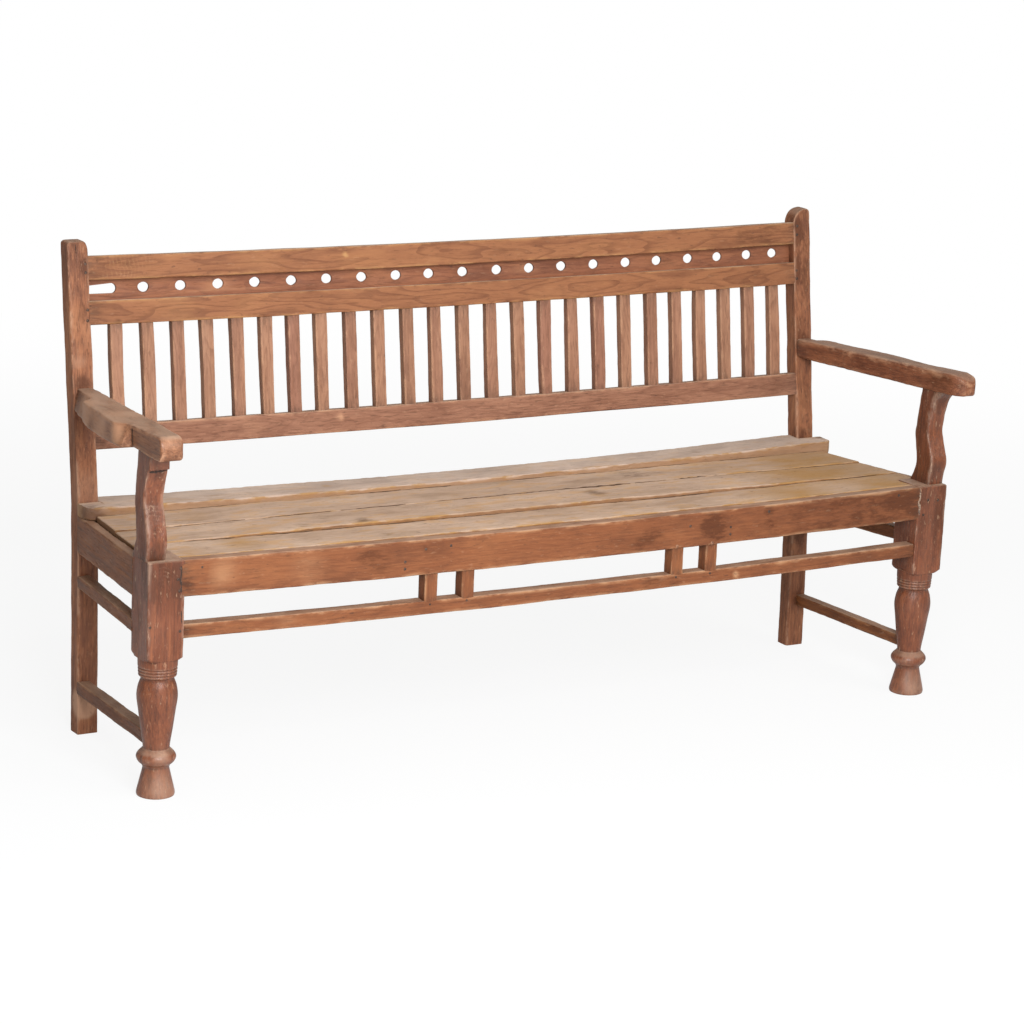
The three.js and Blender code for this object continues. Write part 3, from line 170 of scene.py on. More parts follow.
# %% Stains, painted light and shade, and tool marks of each piece
SPOTS = {
    "front_apron": (
        (-470, 0, 438, 38, 0.55), (-425, 0, 420, 30, 0.3), (187, 0, 417, 34, 0.6),
        (150, 0, 405, 30, 0.35), (322, 0, 436, 26, 0.9), (352, 0, 428, 24, 0.9), (336, 0, 418, 20, 0.7),
        (477, 0, 414, 24, 0.45), (804, 0, 455, 16, 0.5), (-707, 0, 426, 14, 0.5), (-822, 0, 453, 9, 0.5),
        (-852, 0, 425, 20, 0.9), (470, 0, 450, 9, 0.8), (-342, 0, 444, 10, 0.6), (-286, 0, 446, 9, 0.5),
        (848, 0, 430, 22, 0.5), (-780, 0, 440, 45, -0.4), (-600, 0, 430, 60, -0.3),
        (250, 0, 430, 30, -0.25), (620, 0, 430, 160, 0.4), (810, 0, 440, 150, 0.6),
        # (620, 0, 430), (810, 0, 440) and (430, 0, 430) are wide dark spots: painted shade where the light
        # falls off towards the right end.
        (430, 0, 430, 120, 0.2),
    ),
    "front_stretcher": (
        (-860, 4, 330, 25, 0.5), (190, 4, 322, 26, 0.6), (245, 4, 316, 20, 0.6), (-326, 4, 332, 12, 0.5),
        (540, 4, 320, 30, 0.35), (850, 4, 330, 26, 0.5), (-640, 4, 330, 40, -0.3), (399, 4, 320, 9, -0.8),
    ),
    "seat_board_front": (
        (-399, 60, 464, 26, 0.4), (270, 40, 464, 40, 0.35), (330, 45, 464, 26, 0.35),
        (-700, 90, 466, 60, -0.6), (-820, 60, 468, 40, -0.5), (700, 60, 468, 60, 0.3),
        # The wide spot at x = 760, radius 280, makes the right end darker and more golden: painted shade
        # where the light falls off there.
        (810, 60, 468, 40, -0.2), (100, 110, 464, 70, -0.3), (760, 80, 466, 280, -0.65),
        (560, 60, 466, 90, -0.3),
    ),
    "seat_board_second": (
        (-399, 163, 468, 24, 0.7), (-526, 168, 468, 18, 0.6), (175, 210, 468, 26, 0.7),
        (-250, 215, 468, 50, 0.3), (-150, 160, 468, 60, -0.4), (-640, 200, 468, 60, -0.3),
        # The wide spot at x = 760, radius 280, makes the right end darker and more golden: painted shade
        # where the light falls off there.
        (500, 180, 468, 60, 0.3), (700, 200, 468, 50, -0.3), (760, 200, 466, 280, -0.65),
    ),
    "seat_board_third": (
        (358, 337, 464, 34, 0.8), (320, 345, 464, 30, 0.4), (410, 330, 464, 26, 0.4),
        (-500, 300, 464, 60, 0.15), (-100, 320, 464, 70, -0.3), (0, 285, 464, 40, 0.3),
        # The wide spot at x = 760, radius 280, makes the right end darker and more golden: painted shade
        # where the light falls off there.
        (640, 320, 464, 60, 0.35), (-700, 320, 464, 60, -0.4), (760, 320, 462, 280, -0.7),
    ),
    "seat_board_rear": (
        (-341, 440, 472, 16, -1.0), (-341, 450, 472, 26, 0.4), (-890, 386, 462, 36, 1.3),
        (560, 430, 472, 40, 0.4), (896, 421, 480, 14, 0.8), (-600, 430, 476, 60, 0.3),
        (100, 430, 470, 60, -0.3),
    ),
    "back_post_left": (
        (-852, 507, 935, 22, 0.75), (-852, 508, 950, 15, 0.6), (-852, 495, 845, 24, 0.6),
        (-872, 520, 985, 16, 0.5), (-872, 474, 715, 22, 0.8), (-876, 432, 66, 26, -2.0),
        (-878, 480, 750, 26, -0.5), (-868, 433, 108, 16, 0.5), (-860, 470, 690, 40, 0.4),
        (-865, 443, 500, 60, -0.4), (-868, 431, 15, 20, 0.5), (-872, 432, 45, 14, -0.8),
    ),
    "back_post_right": (
        (858, 508, 945, 24, 0.5), (852, 495, 845, 20, 0.6), (868, 455, 580, 60, 0.35),
        # (868, 500, 860), (868, 438, 330) and (868, 438, 200) are wide dark spots down the post: painted
        # shade where the light falls off towards the right end.
        (868, 445, 490, 26, 0.7), (868, 472, 690, 26, 0.7), (868, 500, 860, 170, 0.6),
        (868, 438, 330, 90, 0.5), (868, 438, 200, 110, 0.5), (868, 433, 110, 26, 0.5),
        (868, 440, 420, 60, 0.5),
    ),
    "arm_left": (
        (-862, 455, 700, 24, 0.4), (-900, 360, 705, 20, 0.35), (-944, 270, 672, 20, 0.4),
        (-905, 330, 708, 40, -0.5), (-950, 116, 696, 24, -1.0), (-948, 160, 690, 26, 0.35),
        (-915, 250, 712, 50, 0.2), (-905, 60, 718, 60, 0.15), (-925, 100, 695, 20, 0.5),
        # (-950, 300, 680), (-945, 190, 685) and (-890, 400, 690) are wide pale spots on the outer side,
        # which the lamps hardly reach: painted light.
        (-900, 200, 718, 50, -0.3), (-925, 30, 690, 40, -0.5), (-950, 300, 680, 70, -0.7),
        (-945, 190, 685, 60, -0.6), (-890, 400, 690, 45, -0.6), (-915, -55, 710, 24, -0.5),
        (-938, 0, 690, 26, 0.5), (-915, -55, 682, 16, 0.6), (-885, 180, 714, 40, -0.4),
    ),
    "arm_right": (
        (860, 450, 672, 20, 0.5), (880, 120, 700, 50, 0.3), (890, 20, 690, 40, 0.35),
        (905, -50, 705, 60, 0.5), (905, 0, 720, 30, 0.4), (868, 300, 690, 60, -0.25),
        (880, 30, 676, 24, 0.7), (925, 200, 712, 60, 0.5),
    ),
    "front_leg_left": (
        # (-911, 6, 640) darkens the support just under the arm's lip: painted shade.
        (-911, 6, 640, 24, 0.7), (-911, 3, 662, 12, -0.4), (-911, 20, 560, 40, 0.2),
        (-911, 8, 490, 30, 0.4), (-864, 0, 442, 17, 1.3), (-864, 0, 414, 17, 1.2),
        (-911, 8, 560, 80, -0.12), (-934, 0, 400, 16, 0.4), (-895, 4, 20, 50, -0.5),
        # (-936, 40, 440) and (-936, 40, 330) darken the outer side of the leg, which faces away from the
        # lamp: painted shade.
        (-900, 0, 440, 42, 0.5), (-936, 40, 440, 60, 0.6), (-936, 40, 330, 60, 0.5),
        (-895, 0, 95, 22, -0.3), (-920, 40, 560, 40, 0.5),
    ),
    "front_leg_right": (
        # (905, 6, 648) darkens the scoop under the arm's nose: painted shade in the hollow.
        (905, 6, 648, 26, 1.0), (895, 40, 600, 40, 0.3), (862, 0, 440, 16, 0.6), (884, 0, 440, 16, 0.6),
        (857, 40, 370, 34, -0.9), (862, 30, 300, 26, -0.7), (895, 4, 20, 50, -0.5),
        # (900, 0, 420), radius 170, darkens the upper leg: painted shade where the light falls off towards
        # the right end.
        (900, 0, 420, 170, 0.75),
    ),
    "top_rail": (
        # (680, 509, 945) and (760, 509, 950) darken the right end: painted shade where the light falls off
        # there.
        (680, 509, 945, 220, 0.14), (-800, 509, 945, 120, 0.12), (-828, 509, 955, 14, 0.5),
        (-470, 508, 935, 90, -0.25), (679, 509, 950, 10, -0.6), (-278, 508, 940, 6, -1.0),
        (760, 509, 950, 90, 0.35), (100, 508, 930, 60, 0.3), (-760, 509, 945, 60, 0.3),
    ),
    "mid_rail": (
        # (700, 493, 835) and (740, 493, 840) darken the right end: painted shade where the light falls off
        # there.
        (700, 493, 835, 200, 0.12), (-790, 493, 830, 8, 0.9), (-460, 492, 827, 8, 0.9),
        (537, 493, 831, 8, 0.8), (-660, 493, 840, 70, -0.3), (-830, 493, 845, 20, 0.5),
        (200, 493, 835, 80, -0.2), (740, 493, 840, 60, 0.35),
    ),
    "lower_back_rail": (
        (-301, 462, 609, 9, -0.9), (-835, 459, 592, 14, 0.7), (-700, 460, 600, 60, 0.2),
        # (780, 461, 605) darkens the right end: painted shade where the light falls off there.
        (300, 461, 605, 60, 0.2), (780, 461, 605, 60, 0.35), (-500, 460, 600, 50, -0.3),
    ),
    "perforated_panel": (
        (-720, 520, 890, 30, 0.5), (-200, 520, 890, 40, 0.4), (835, 520, 888, 14, -0.9),
        # (700, 520, 890) darkens the right end: painted shade where the light falls off there.
        (150, 520, 890, 40, -0.5), (500, 520, 890, 50, 0.5), (700, 520, 890, 140, 0.3),
        (-560, 520, 890, 30, -0.6),
    ),
}
TOOL_MARKS = {
    "front_leg_left": ((-911, 15, 560, 60, 0.5), (-900, 0, 445, 34, 0.5)),
    "front_leg_right": ((905, 10, 500, 30, 0.4),),
    "top_rail": ((-770, 509, 950, 100, 0.6),),
    "lower_back_rail": ((-640, 461, 605, 160, 0.35),),
}
print("stained pieces:", len(SPOTS), "with tool marks:", len(TOOL_MARKS))

# %% [markdown]
# ## What the points remember
# Five things are kept on every point for the finish: how near it is to an edge, how near to a joint, how
# stained it is together with the painted light and shade kept among the stains, how much it shows of the
# tools, and where it lies in the plank (two measures across the grain and one along it). Because the last
# one follows the piece, grain runs true up a leaning slat or out along a splayed arm. Attributes suit this
# better than an unwrapped texture, as no seam can show.


# %% Values kept on the points
def stained(places, spots):
    """How dark (above 0) or pale (below 0) each place is."""
    amount = np.zeros(len(places))
    for x, y, z, radius, strength in spots:
        off = np.linalg.norm(places - in_scene(x, y, z), axis=1)
        amount += strength * np.exp(-((off / (radius * MM)) ** 2))
    return amount


def keep_on_points(mesh, mark, values):
    """Keep a number on every point, or three numbers for the grain."""
    kind, field = ("FLOAT_VECTOR", "vector") if mark == "grain" else ("FLOAT", "value")
    mesh.attributes.new(mark, kind, "POINT").data.foreach_set(field, np.ravel(values))


print("stain at the middle of a spot:", stained(in_scene(0, 0, 0)[None], [(0, 0, 0, 9, 0.5)]))

# %% [markdown]
# Points that fall together are merged, faces are turned outward, and only real corners stay
# sharp. Shade Smooth alone would smear light over the corners, so the angle matters.

# %% From a mesh to a piece
DOUBLED = 0.02 * MM
SHARP_ANGLE = math.radians(38)


def linked(name, data):
    """A new object in the scene."""
    piece = bpy.data.objects.new(name, data)
    bpy.context.scene.collection.objects.link(piece)
    return piece


def cleaned(node, mesh):
    """A piece with a tidy skin, named after the packed node that it will stand for."""
    skin = bmesh.new()
    skin.from_mesh(mesh)
    bmesh.ops.remove_doubles(skin, verts=skin.verts, dist=DOUBLED)
    bmesh.ops.recalc_face_normals(skin, faces=skin.faces)
    skin.to_mesh(mesh)
    skin.free()
    mesh.shade_smooth()
    mesh.set_sharp_from_angle(angle=SHARP_ANGLE)
    return linked(f"dressed_{node}", mesh)


print("corners sharper than", round(math.degrees(SHARP_ANGLE)), "degrees stay crisp")

# %% [markdown]
# ## From rings to a mesh
# Rings are joined by quads, and the two ends are closed with one face each. Every piece is cut
# from its own stretch of an endless log, so no two show the same grain.

# %% Stitch rings into a piece
LOG_STEP = np.array((0.0, 0.0, 1.71))


def ring_quads(first, rings, around):
    """Quads between rings that follow one another, from the number of their first point."""
    quads = []
    for row in range(rings - 1):
        low, high = first + row * around, first + (row + 1) * around
        for column in range(around):
            beside = (column + 1) % around
            quads.append((low + column, low + beside, high + beside, high + column))
    return quads


def stitched(node, shells, seed):
    """A piece from shells, each a dict of places, grain, edge and joint with a value per ring point."""
    verts, faces = [], []
    kept = {"grain": [], "edge": [], "joint": []}
    for shell in shells:
        places = shell["places"]
        rings, around = places.shape[:2]
        first = len(verts)
        verts += places.reshape(-1, 3).tolist()
        kept["grain"] += (shell["grain"] + LOG_STEP * seed).reshape(-1, 3).tolist()
        for mark in ("edge", "joint"):
            kept[mark] += np.broadcast_to(shell[mark], (rings, around)).ravel().tolist()
        faces += ring_quads(first, rings, around)
        faces.append(tuple(range(first, first + around)))
        faces.append(tuple(range(len(verts) - around, len(verts))))
    mesh = bpy.data.meshes.new(f"dressed_{node}")
    mesh.from_pydata(verts, [], faces)
    kept["stain_and_painted_light"] = stained(np.array(verts), SPOTS.get(node, ()))
    kept["cut"] = stained(np.array(verts), TOOL_MARKS.get(node, ()))
    for mark, values in kept.items():
        keep_on_points(mesh, mark, values)
    return cleaned(node, mesh)


print("quads between two rings:", len(ring_quads(0, 2, 4 * (ARC_STEPS + len(FLAT_SHARES) + 3))))

# %% [markdown]
# A shell is worked out from stations along the piece, the section's four sides and a rule that
# lays a section point on the bench. The surface also gets a low, wide unevenness, as a hand plane
# leaves it. Dirt gathers where a piece goes into another, so each ring also knows how near that is.

# %% One shell of a stick
PLANE_MARKS = 0.35
PLANE_LENGTH = 120
COLUMN_SEED = 0.05
JOINT_REACH = 14
FAR = 1000.0
FULLEST = 0.49
HEART_DRIFT = 0.3


def near_joints(stations, ends):
    """1 where a piece is let into another, fading along it. An end that is None is free."""
    reach = np.full(stations.shape, FAR)
    if ends[0] is not None:
        reach = np.minimum(reach, stations - stations[0] - ends[0])
    if ends[1] is not None:
        reach = np.minimum(reach, stations[-1] - ends[1] - stations)
    return np.exp(-np.maximum(reach, 0) / JOINT_REACH)[:, None]


def heart(low, high, pith, seed, which):
    """Where the tree's heart lay, which sets the look of the rings."""
    return (low + high).mean() / 2 + pith * (1 + HEART_DRIFT * wander([seed], 0.73, which)[0])


def stick_shell(
    stations, sides, radius, lay, seed,
    ends=(0, 0), marks=PLANE_MARKS, knocks=0.3, pith=(0, 75), corners=(1, 1, 1, 1), shape=None,
):
    """A rounded stick. sides is (low a, high a, low b, high b); ends says how deep each end is let in.

    pith is where the tree's heart lay from the middle of the section, corners are shares of the
    radius, and shape may bend the section after it is drawn.
    """
    stations = np.asarray(stations, float)
    low_a, high_a, low_b, high_b = [np.broadcast_to(side, stations.shape).astype(float) for side in sides]
    limit = np.maximum(FULLEST * np.minimum(high_a - low_a, high_b - low_b), 0.01)
    radii = worn_radii(stations, radius, limit, seed, knocks)
    radii = [np.minimum(row * share, limit) for row, share in zip(radii, corners)]
    rows_a, rows_b, nearness = rounded_rings(low_a, high_a, low_b, high_b, radii)
    for column in range(rows_a.shape[1]):
        rows_a[:, column] += marks * wander(stations, PLANE_LENGTH, seed + column * COLUMN_SEED)
        rows_b[:, column] += marks * wander(stations, PLANE_LENGTH, seed + 9 + column * COLUMN_SEED)
    rows_s = np.broadcast_to(stations[:, None], rows_a.shape)
    wood_a = rows_a - heart(low_a, high_a, pith[0], seed, 1)
    wood_b = rows_b - heart(low_b, high_b, pith[1], seed, 2)
    if shape:
        rows_a, rows_b = shape(rows_a, rows_b, rows_s)
    return {
        "places": in_scene(*lay(rows_a, rows_b, rows_s)),
        "grain": np.stack([wood_a, wood_b, rows_s], axis=-1) * MM,
        "edge": nearness[None, :],
        "joint": near_joints(stations, ends),
    }


def spread(start, stop, step):
    """Even stations from start to stop, about step apart."""
    return np.linspace(start, stop, max(2, int(abs(stop - start) / step) + 1))


print("stations along a rail:", len(spread(-850, 850, 12)))

# %% [markdown]
# Each finished piece stands for its packed node and rides on the bench's one body.

# %% Put a piece in the place of its node
made = {}


def stands_for(piece):
    """The piece takes the place of the packed node that it is named after."""
    node = piece.name.removeprefix("dressed_")
    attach(piece, "root")
    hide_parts(node)
    made[node] = piece


SIDES = (("left", -1), ("right", 1))
print("ends of the bench:", [side for side, sign in SIDES])

# %% [markdown]
# ## The back posts
# The posts are square, lean a little below the seat and more above it, and have rounded tops.
# A section is drawn at each height, and its inner or outer side moves in towards the top. The
# right top has been cut away much more than the left one.

# %% Back posts
BACK_INNER = 846
POST_WIDTH = 44
POST_DEPTH = 37
KNEE_LINE = 441
SEAT_HEIGHT = 470
FULL_HEIGHT = 991
LEG_RAKE = math.radians(1.24)
BACK_RAKE = math.radians(8)
CROWNS = {"left": (9, 22), "right": (36, 33)}
OUTER_CROWN = 8
CROWN_ZONE = 40
TOP_EASE = 5


def post_face(z):
    """How far back the front of a back post is at a height."""
    rake = np.where(np.asarray(z) < SEAT_HEIGHT, math.tan(LEG_RAKE), math.tan(BACK_RAKE))
    return KNEE_LINE + (z - SEAT_HEIGHT) * rake


def shoulder(height, width, rise):
    """How far a rounded corner has come in at a height above its start."""
    way = np.clip(height / rise, 0, 1)
    return width * (1 - np.sqrt(1 - way**2))


def back_post(side, sign, seed):
    """A back post, from the floor to its rounded top."""
    width, rise = CROWNS[side]
    crown = FULL_HEIGHT - CROWN_ZONE
    body = spread(0, crown, 12)
    top = crown + CROWN_ZONE * np.sin(np.linspace(0, math.pi / 2, 16))
    stations = np.concatenate([[0, 1.5], body[1:], top[1:]])
    inner = BACK_INNER + shoulder(stations - (FULL_HEIGHT - rise), width, rise)
    outer_cut = shoulder(stations - (FULL_HEIGHT - OUTER_CROWN), OUTER_CROWN, OUTER_CROWN)
    outer = BACK_INNER + POST_WIDTH - outer_cut
    face = post_face(stations)
    ease = shoulder(stations - (FULL_HEIGHT - TOP_EASE), TOP_EASE, TOP_EASE)
    sides = (inner, outer, face + ease, face + POST_DEPTH - ease)
    lay = lambda a, b, s: (sign * a, b, s)
    shell = stick_shell(stations, sides, 3.0, lay, seed, ends=(None, None), pith=(30, 60))
    return stitched(f"back_post_{side}", [shell], seed)


for seed, (side, sign) in enumerate(SIDES):
    stands_for(back_post(side, sign, 11 + seed))
print("back posts:", [piece.name for piece in made.values()])

# %% [markdown]
# ## The leaning back
# Rails, panel and slats are drawn on their own leaning board: one measure behind the face of the
# posts, one up the slope. Long pieces sag a few millimetres in the middle, as old seats do.

# %% Rails
RAIL_HEIGHT = 48
RAIL_THICKNESS = 30
RAIL_INSET = 1
TOP_GAP = 29
PANEL_OPENING = 41
RAIL_SAG = 4
SLOPE_LENGTH = (FULL_HEIGHT - SEAT_HEIGHT) / math.cos(BACK_RAKE)
TOP_RISE = SLOPE_LENGTH - TOP_GAP - RAIL_HEIGHT
MID_RISE = TOP_RISE - PANEL_OPENING - RAIL_HEIGHT
LOW_RISE = 0.213 * SLOPE_LENGTH
RAILS = {
    "top_rail": (TOP_RISE, 6, 2.6),
    "mid_rail": (MID_RISE, RAIL_SAG, 2.4),
    "lower_back_rail": (LOW_RISE, RAIL_SAG, 3.0),
}
BURIED = 6


def leaned(x, behind, rise):
    """A point of the leaning back on the bench."""
    back = KNEE_LINE + behind * math.cos(BACK_RAKE) + rise * math.sin(BACK_RAKE)
    return x, back, SEAT_HEIGHT - behind * math.sin(BACK_RAKE) + rise * math.cos(BACK_RAKE)


def sag(x, drop):
    """How far a long piece has dropped at a place along it."""
    return drop * np.maximum(0, 1 - (x / BACK_INNER) ** 2)


def rail(name, rise, drop, radius, seed):
    """One rail between the back posts."""
    stations = spread(-BACK_INNER - BURIED, BACK_INNER + BURIED, 11)
    sides = (RAIL_INSET, RAIL_INSET + RAIL_THICKNESS, rise, rise + RAIL_HEIGHT)
    lay = lambda a, b, s: leaned(s, a, b - sag(s, drop))
    shell = stick_shell(stations, sides, radius, lay, seed, ends=(BURIED, BURIED), marks=0.5, pith=(60, 16))
    return stitched(name, [shell], seed)


for seed, (name, (rise, drop, radius)) in enumerate(RAILS.items()):
    stands_for(rail(name, rise, drop, radius, 21 + seed))
print("rails start", [round(rise) for rise, drop, radius in RAILS.values()], "mm up the slope")

# %% [markdown]
# ## Slats
# The slats were split and planed by eye. Each one gets a little taper, a little bow and its own
# tone later on. They go a few millimetres into the rails, which hide their ends.

# %% Slats
SLAT_WIDTH = 26
SLAT_THICKNESS = 18
SLAT_INSET = 4
SLAT_DRIFTS = (
    0.1, 0.13, 0.15, 0.08, 0.12, 0.08, -0.08, -0.2, -0.12, -0.13, -0.04, -0.06, 0,
    0.06, 0.06, 0.12, 0.13, 0.15, 0.2, 0.3, 0.2, 0.12, 0.06, -0.06, -0.02,
)
SLAT_PITCH = (2 * BACK_INNER + SLAT_WIDTH) / (len(SLAT_DRIFTS) + 1)
SLAT_BOW = 1.4
SLAT_TAPER = 1.6


def slat(number, place, seed):
    """One slat between the lower and middle rails."""
    bottom = LOW_RISE + RAIL_HEIGHT - BURIED - sag(place, RAIL_SAG)
    top = MID_RISE + BURIED - sag(place, RAIL_SAG)
    stations = spread(bottom, top, 9)
    way = (stations - bottom) / (top - bottom)
    bow = SLAT_BOW * wander([seed], 0.7, 3)[0] * np.sin(math.pi * way)
    taper = SLAT_TAPER * wander([seed], 0.6, 4)[0] * (0.5 - way)
    half = SLAT_WIDTH / 2 + taper
    sides = (place + bow - half, place + bow + half, SLAT_INSET, SLAT_INSET + SLAT_THICKNESS)
    shell = stick_shell(stations, sides, 1.9, leaned, seed, ends=(BURIED, BURIED), marks=0.25, pith=(8, 50))
    return stitched(f"slat_{number:02d}", [shell], seed)


for number, drift in enumerate(SLAT_DRIFTS, start=1):
    place = (number - (len(SLAT_DRIFTS) + 1) / 2) * SLAT_PITCH + drift * SLAT_WIDTH
    stands_for(slat(number, place, 30 + number))
print("slats:", len(SLAT_DRIFTS), "about", round(SLAT_PITCH, 1), "mm apart")

# %% [markdown]
# ## The perforated panel
# A flat sheet with holes is easiest as a filled curve: the outer outline makes the sheet, every
# inner outline makes a hole, and the curve's own bevel takes the sharp rim off. The curve becomes
# a mesh, and its points are then laid on the leaning back. The first hole has worn into a slot.

# %% Measures of the panel and its holes
PANEL_THICKNESS = 6
PANEL_FRONT = RAIL_INSET + 20
PANEL_SAG = 5
PANEL_MIDDLE = (MID_RISE + RAIL_HEIGHT + TOP_RISE) / 2
HOLE_DRIFTS = (
    0, 0.04, 0.05, 0.08, 0.1, 0.13, 0.13, 0.14, 0.14, 0.11, 0.12,
    0.15, 0.14, 0.13, 0.14, 0.16, 0.15, 0.16, 0.12, 0.09, -0.06,
)
HOLE_PITCH = 2 * BACK_INNER / len(HOLE_DRIFTS)
HOLE_SIZE = (26, 21.5)
HOLE_POINTS = 36
HOLE_LIFT = 2.5
HOLE_WEAR = 0.035
SLOT_START = 15
SLOT_LENGTH = 66
SLOT_END = 18
SLOT_DROP = 1.6


def hole_outline(number, x, z):
    """Points round a hole, which a brace left a little uneven."""
    half_width, half_height = HOLE_SIZE[0] / 2, HOLE_SIZE[1] / 2
    turns = np.linspace(0, 2 * math.pi, HOLE_POINTS, endpoint=False)
    if number == 0:
        wide = x + SLOT_START
        narrow = wide + half_height + SLOT_END / 2 - SLOT_LENGTH
        inner = np.cos(turns) > 0
        centre = np.where(inner, wide, narrow)
        radius = np.where(inner, half_height, SLOT_END / 2)
        return centre + radius * np.cos(turns), z - np.where(inner, 0, SLOT_DROP) + radius * np.sin(turns)
    uneven = 1 + HOLE_WEAR * wander(np.cos(turns) + np.sin(turns), 0.9, number)
    return x + half_width * uneven * np.cos(turns), z + half_height * uneven * np.sin(turns)


print("panel holes:", len(HOLE_DRIFTS), "about", round(HOLE_PITCH, 1), "mm apart")

# %% [markdown]
# The sheet is drawn flat first. Its long sides have points every 20 mm, or it couldn't sag.

# %% The flat sheet
RIM = 0.7


def add_loop(curve, xs, ys):
    """One closed outline of the filled curve."""
    loop = curve.splines.new("POLY")
    loop.points.add(len(xs) - 1)
    for point, x, y in zip(loop.points, xs, ys):
        point.co = (x, y, 0, 1)
    loop.use_cyclic_u = True


def flat_sheet():
    """The pierced sheet as a mesh, lying flat."""
    curve = bpy.data.curves.new("panel_outline", "CURVE")
    curve.dimensions = "2D"
    curve.fill_mode = "BOTH"
    curve.extrude = PANEL_THICKNESS / 2 - RIM
    curve.bevel_depth = RIM
    curve.bevel_resolution = 2
    half = PANEL_OPENING / 2 + BURIED
    along = spread(-BACK_INNER - BURIED, BACK_INNER + BURIED, 20)
    low, high = np.full(along.shape, PANEL_MIDDLE - half), np.full(along.shape, PANEL_MIDDLE + half)
    add_loop(curve, np.concatenate([along, along[::-1]]), np.concatenate([low, high]))
    for number, drift in enumerate(HOLE_DRIFTS):
        place = (number - (len(HOLE_DRIFTS) - 1) / 2 + drift) * HOLE_PITCH
        add_loop(curve, *hole_outline(number, place, PANEL_MIDDLE + HOLE_LIFT))
    drawn = linked("panel_outline", curve)
    mesh = bpy.data.meshes.new_from_object(drawn.evaluated_get(bpy.context.evaluated_depsgraph_get()))
    bpy.data.objects.remove(drawn)
    return mesh


sheet = flat_sheet()
print("faces of the flat sheet:", len(sheet.polygons))

# %% [markdown]
# Now the flat points are laid on the leaning back, between the two upper rails.

# %% Lay the panel in the back
PANEL_HEART = (50, 12)


def panel(mesh, seed):
    """The sheet between the two upper rails."""
    points = np.zeros(len(mesh.vertices) * 3)
    mesh.vertices.foreach_get("co", points)
    x, rise, through = points.reshape(-1, 3).T
    behind = PANEL_FRONT + PANEL_THICKNESS / 2 - through
    placed = in_scene(*leaned(x, behind, rise - sag(x, PANEL_SAG)))
    mesh.vertices.foreach_set("co", placed.ravel())
    wood = np.stack([behind + PANEL_HEART[0], rise - PANEL_MIDDLE - PANEL_HEART[1], x], axis=-1)
    keep_on_points(mesh, "grain", wood * MM + LOG_STEP * seed)
    keep_on_points(mesh, "stain_and_painted_light", stained(placed, SPOTS["perforated_panel"]))
    return cleaned("perforated_panel", mesh)


stands_for(panel(sheet, 60))
print("panel lies", PANEL_FRONT, "mm behind the face of the posts")

# %% [markdown]
# ## Aprons, stretcher and little balusters
# These run between the front legs. Apron and stretcher have dropped together, so the balusters
# between them keep their length. The rear apron, which nobody sees, carries the rear board.

# %% Front and rear members
FRONT_INNER = 857
FRONT_OUTER = 932
APRON_BOTTOM = 398
APRON_SAG = 8
APRON_THICKNESS = 25
STRETCHER_TOP = 343
STRETCHER_BOTTOM = 315.5
STRETCHER_FRONT = 4
STRETCHER_DEPTH = 30
REAR_FACES = (447, 472)
REAR_HEIGHTS = (384.75, 454.75)
REAR_SAG = 12
BALUSTERS = (-324.5, -241.5, 251.5, 334.5)
BALUSTER_WIDTH = 28
STRETCHER_FACES = (STRETCHER_FRONT, STRETCHER_FRONT + STRETCHER_DEPTH)
CROSS_MEMBERS = {
    "front_apron": (FRONT_INNER, (0, APRON_THICKNESS, APRON_BOTTOM, SEAT_HEIGHT), APRON_SAG, 3.2),
    "front_stretcher": (FRONT_INNER, (*STRETCHER_FACES, STRETCHER_BOTTOM, STRETCHER_TOP), APRON_SAG, 2.6),
    "rear_apron": (BACK_INNER, (*REAR_FACES, *REAR_HEIGHTS), REAR_SAG, 2.5),
}


def cross_member(name, span, sides, drop, radius, seed):
    """A long piece across the bench that has dropped in the middle."""
    stations = spread(-span - BURIED, span + BURIED, 11)
    lay = lambda a, b, s: (s, a, b - sag(s, drop))
    shell = stick_shell(stations, sides, radius, lay, seed, ends=(BURIED, BURIED), marks=0.5, pith=(70, -30))
    return stitched(name, [shell], seed)


def baluster(number, place, seed):
    """A short square stick between apron and stretcher."""
    stations = spread(STRETCHER_TOP - 2, APRON_BOTTOM + 2, 7)
    half = BALUSTER_WIDTH / 2
    sides = (place - half, place + half, STRETCHER_FRONT, STRETCHER_FRONT + BALUSTER_WIDTH)
    lay = lambda a, b, s: (a, b, s - sag(a, APRON_SAG))
    shell = stick_shell(stations, sides, 1.8, lay, seed, ends=(2, 2), pith=(10, 40))
    return stitched(f"short_baluster_{number}", [shell], seed)


for seed, (name, measures) in enumerate(CROSS_MEMBERS.items(), start=61):
    slot = "hidden_wood" if name == "rear_apron" else "apron_wood"
    stands_for(cross_member(name, *measures, seed))
for number, place in enumerate(BALUSTERS, start=1):
    stands_for(baluster(number, place, 63 + number))
print("cross members and balusters made:", len(BALUSTERS) + 3)

# %% [markdown]
# ## Front legs
# A leg is one piece of wood worked three ways: turned at the foot, left square where the aprons
# join, and sawn to a curve above the seat to carry the arm. The turning is a lathe profile. Its
# outline is a handful of points joined by a smooth spline, then three fine grooves are cut in
# the collar.

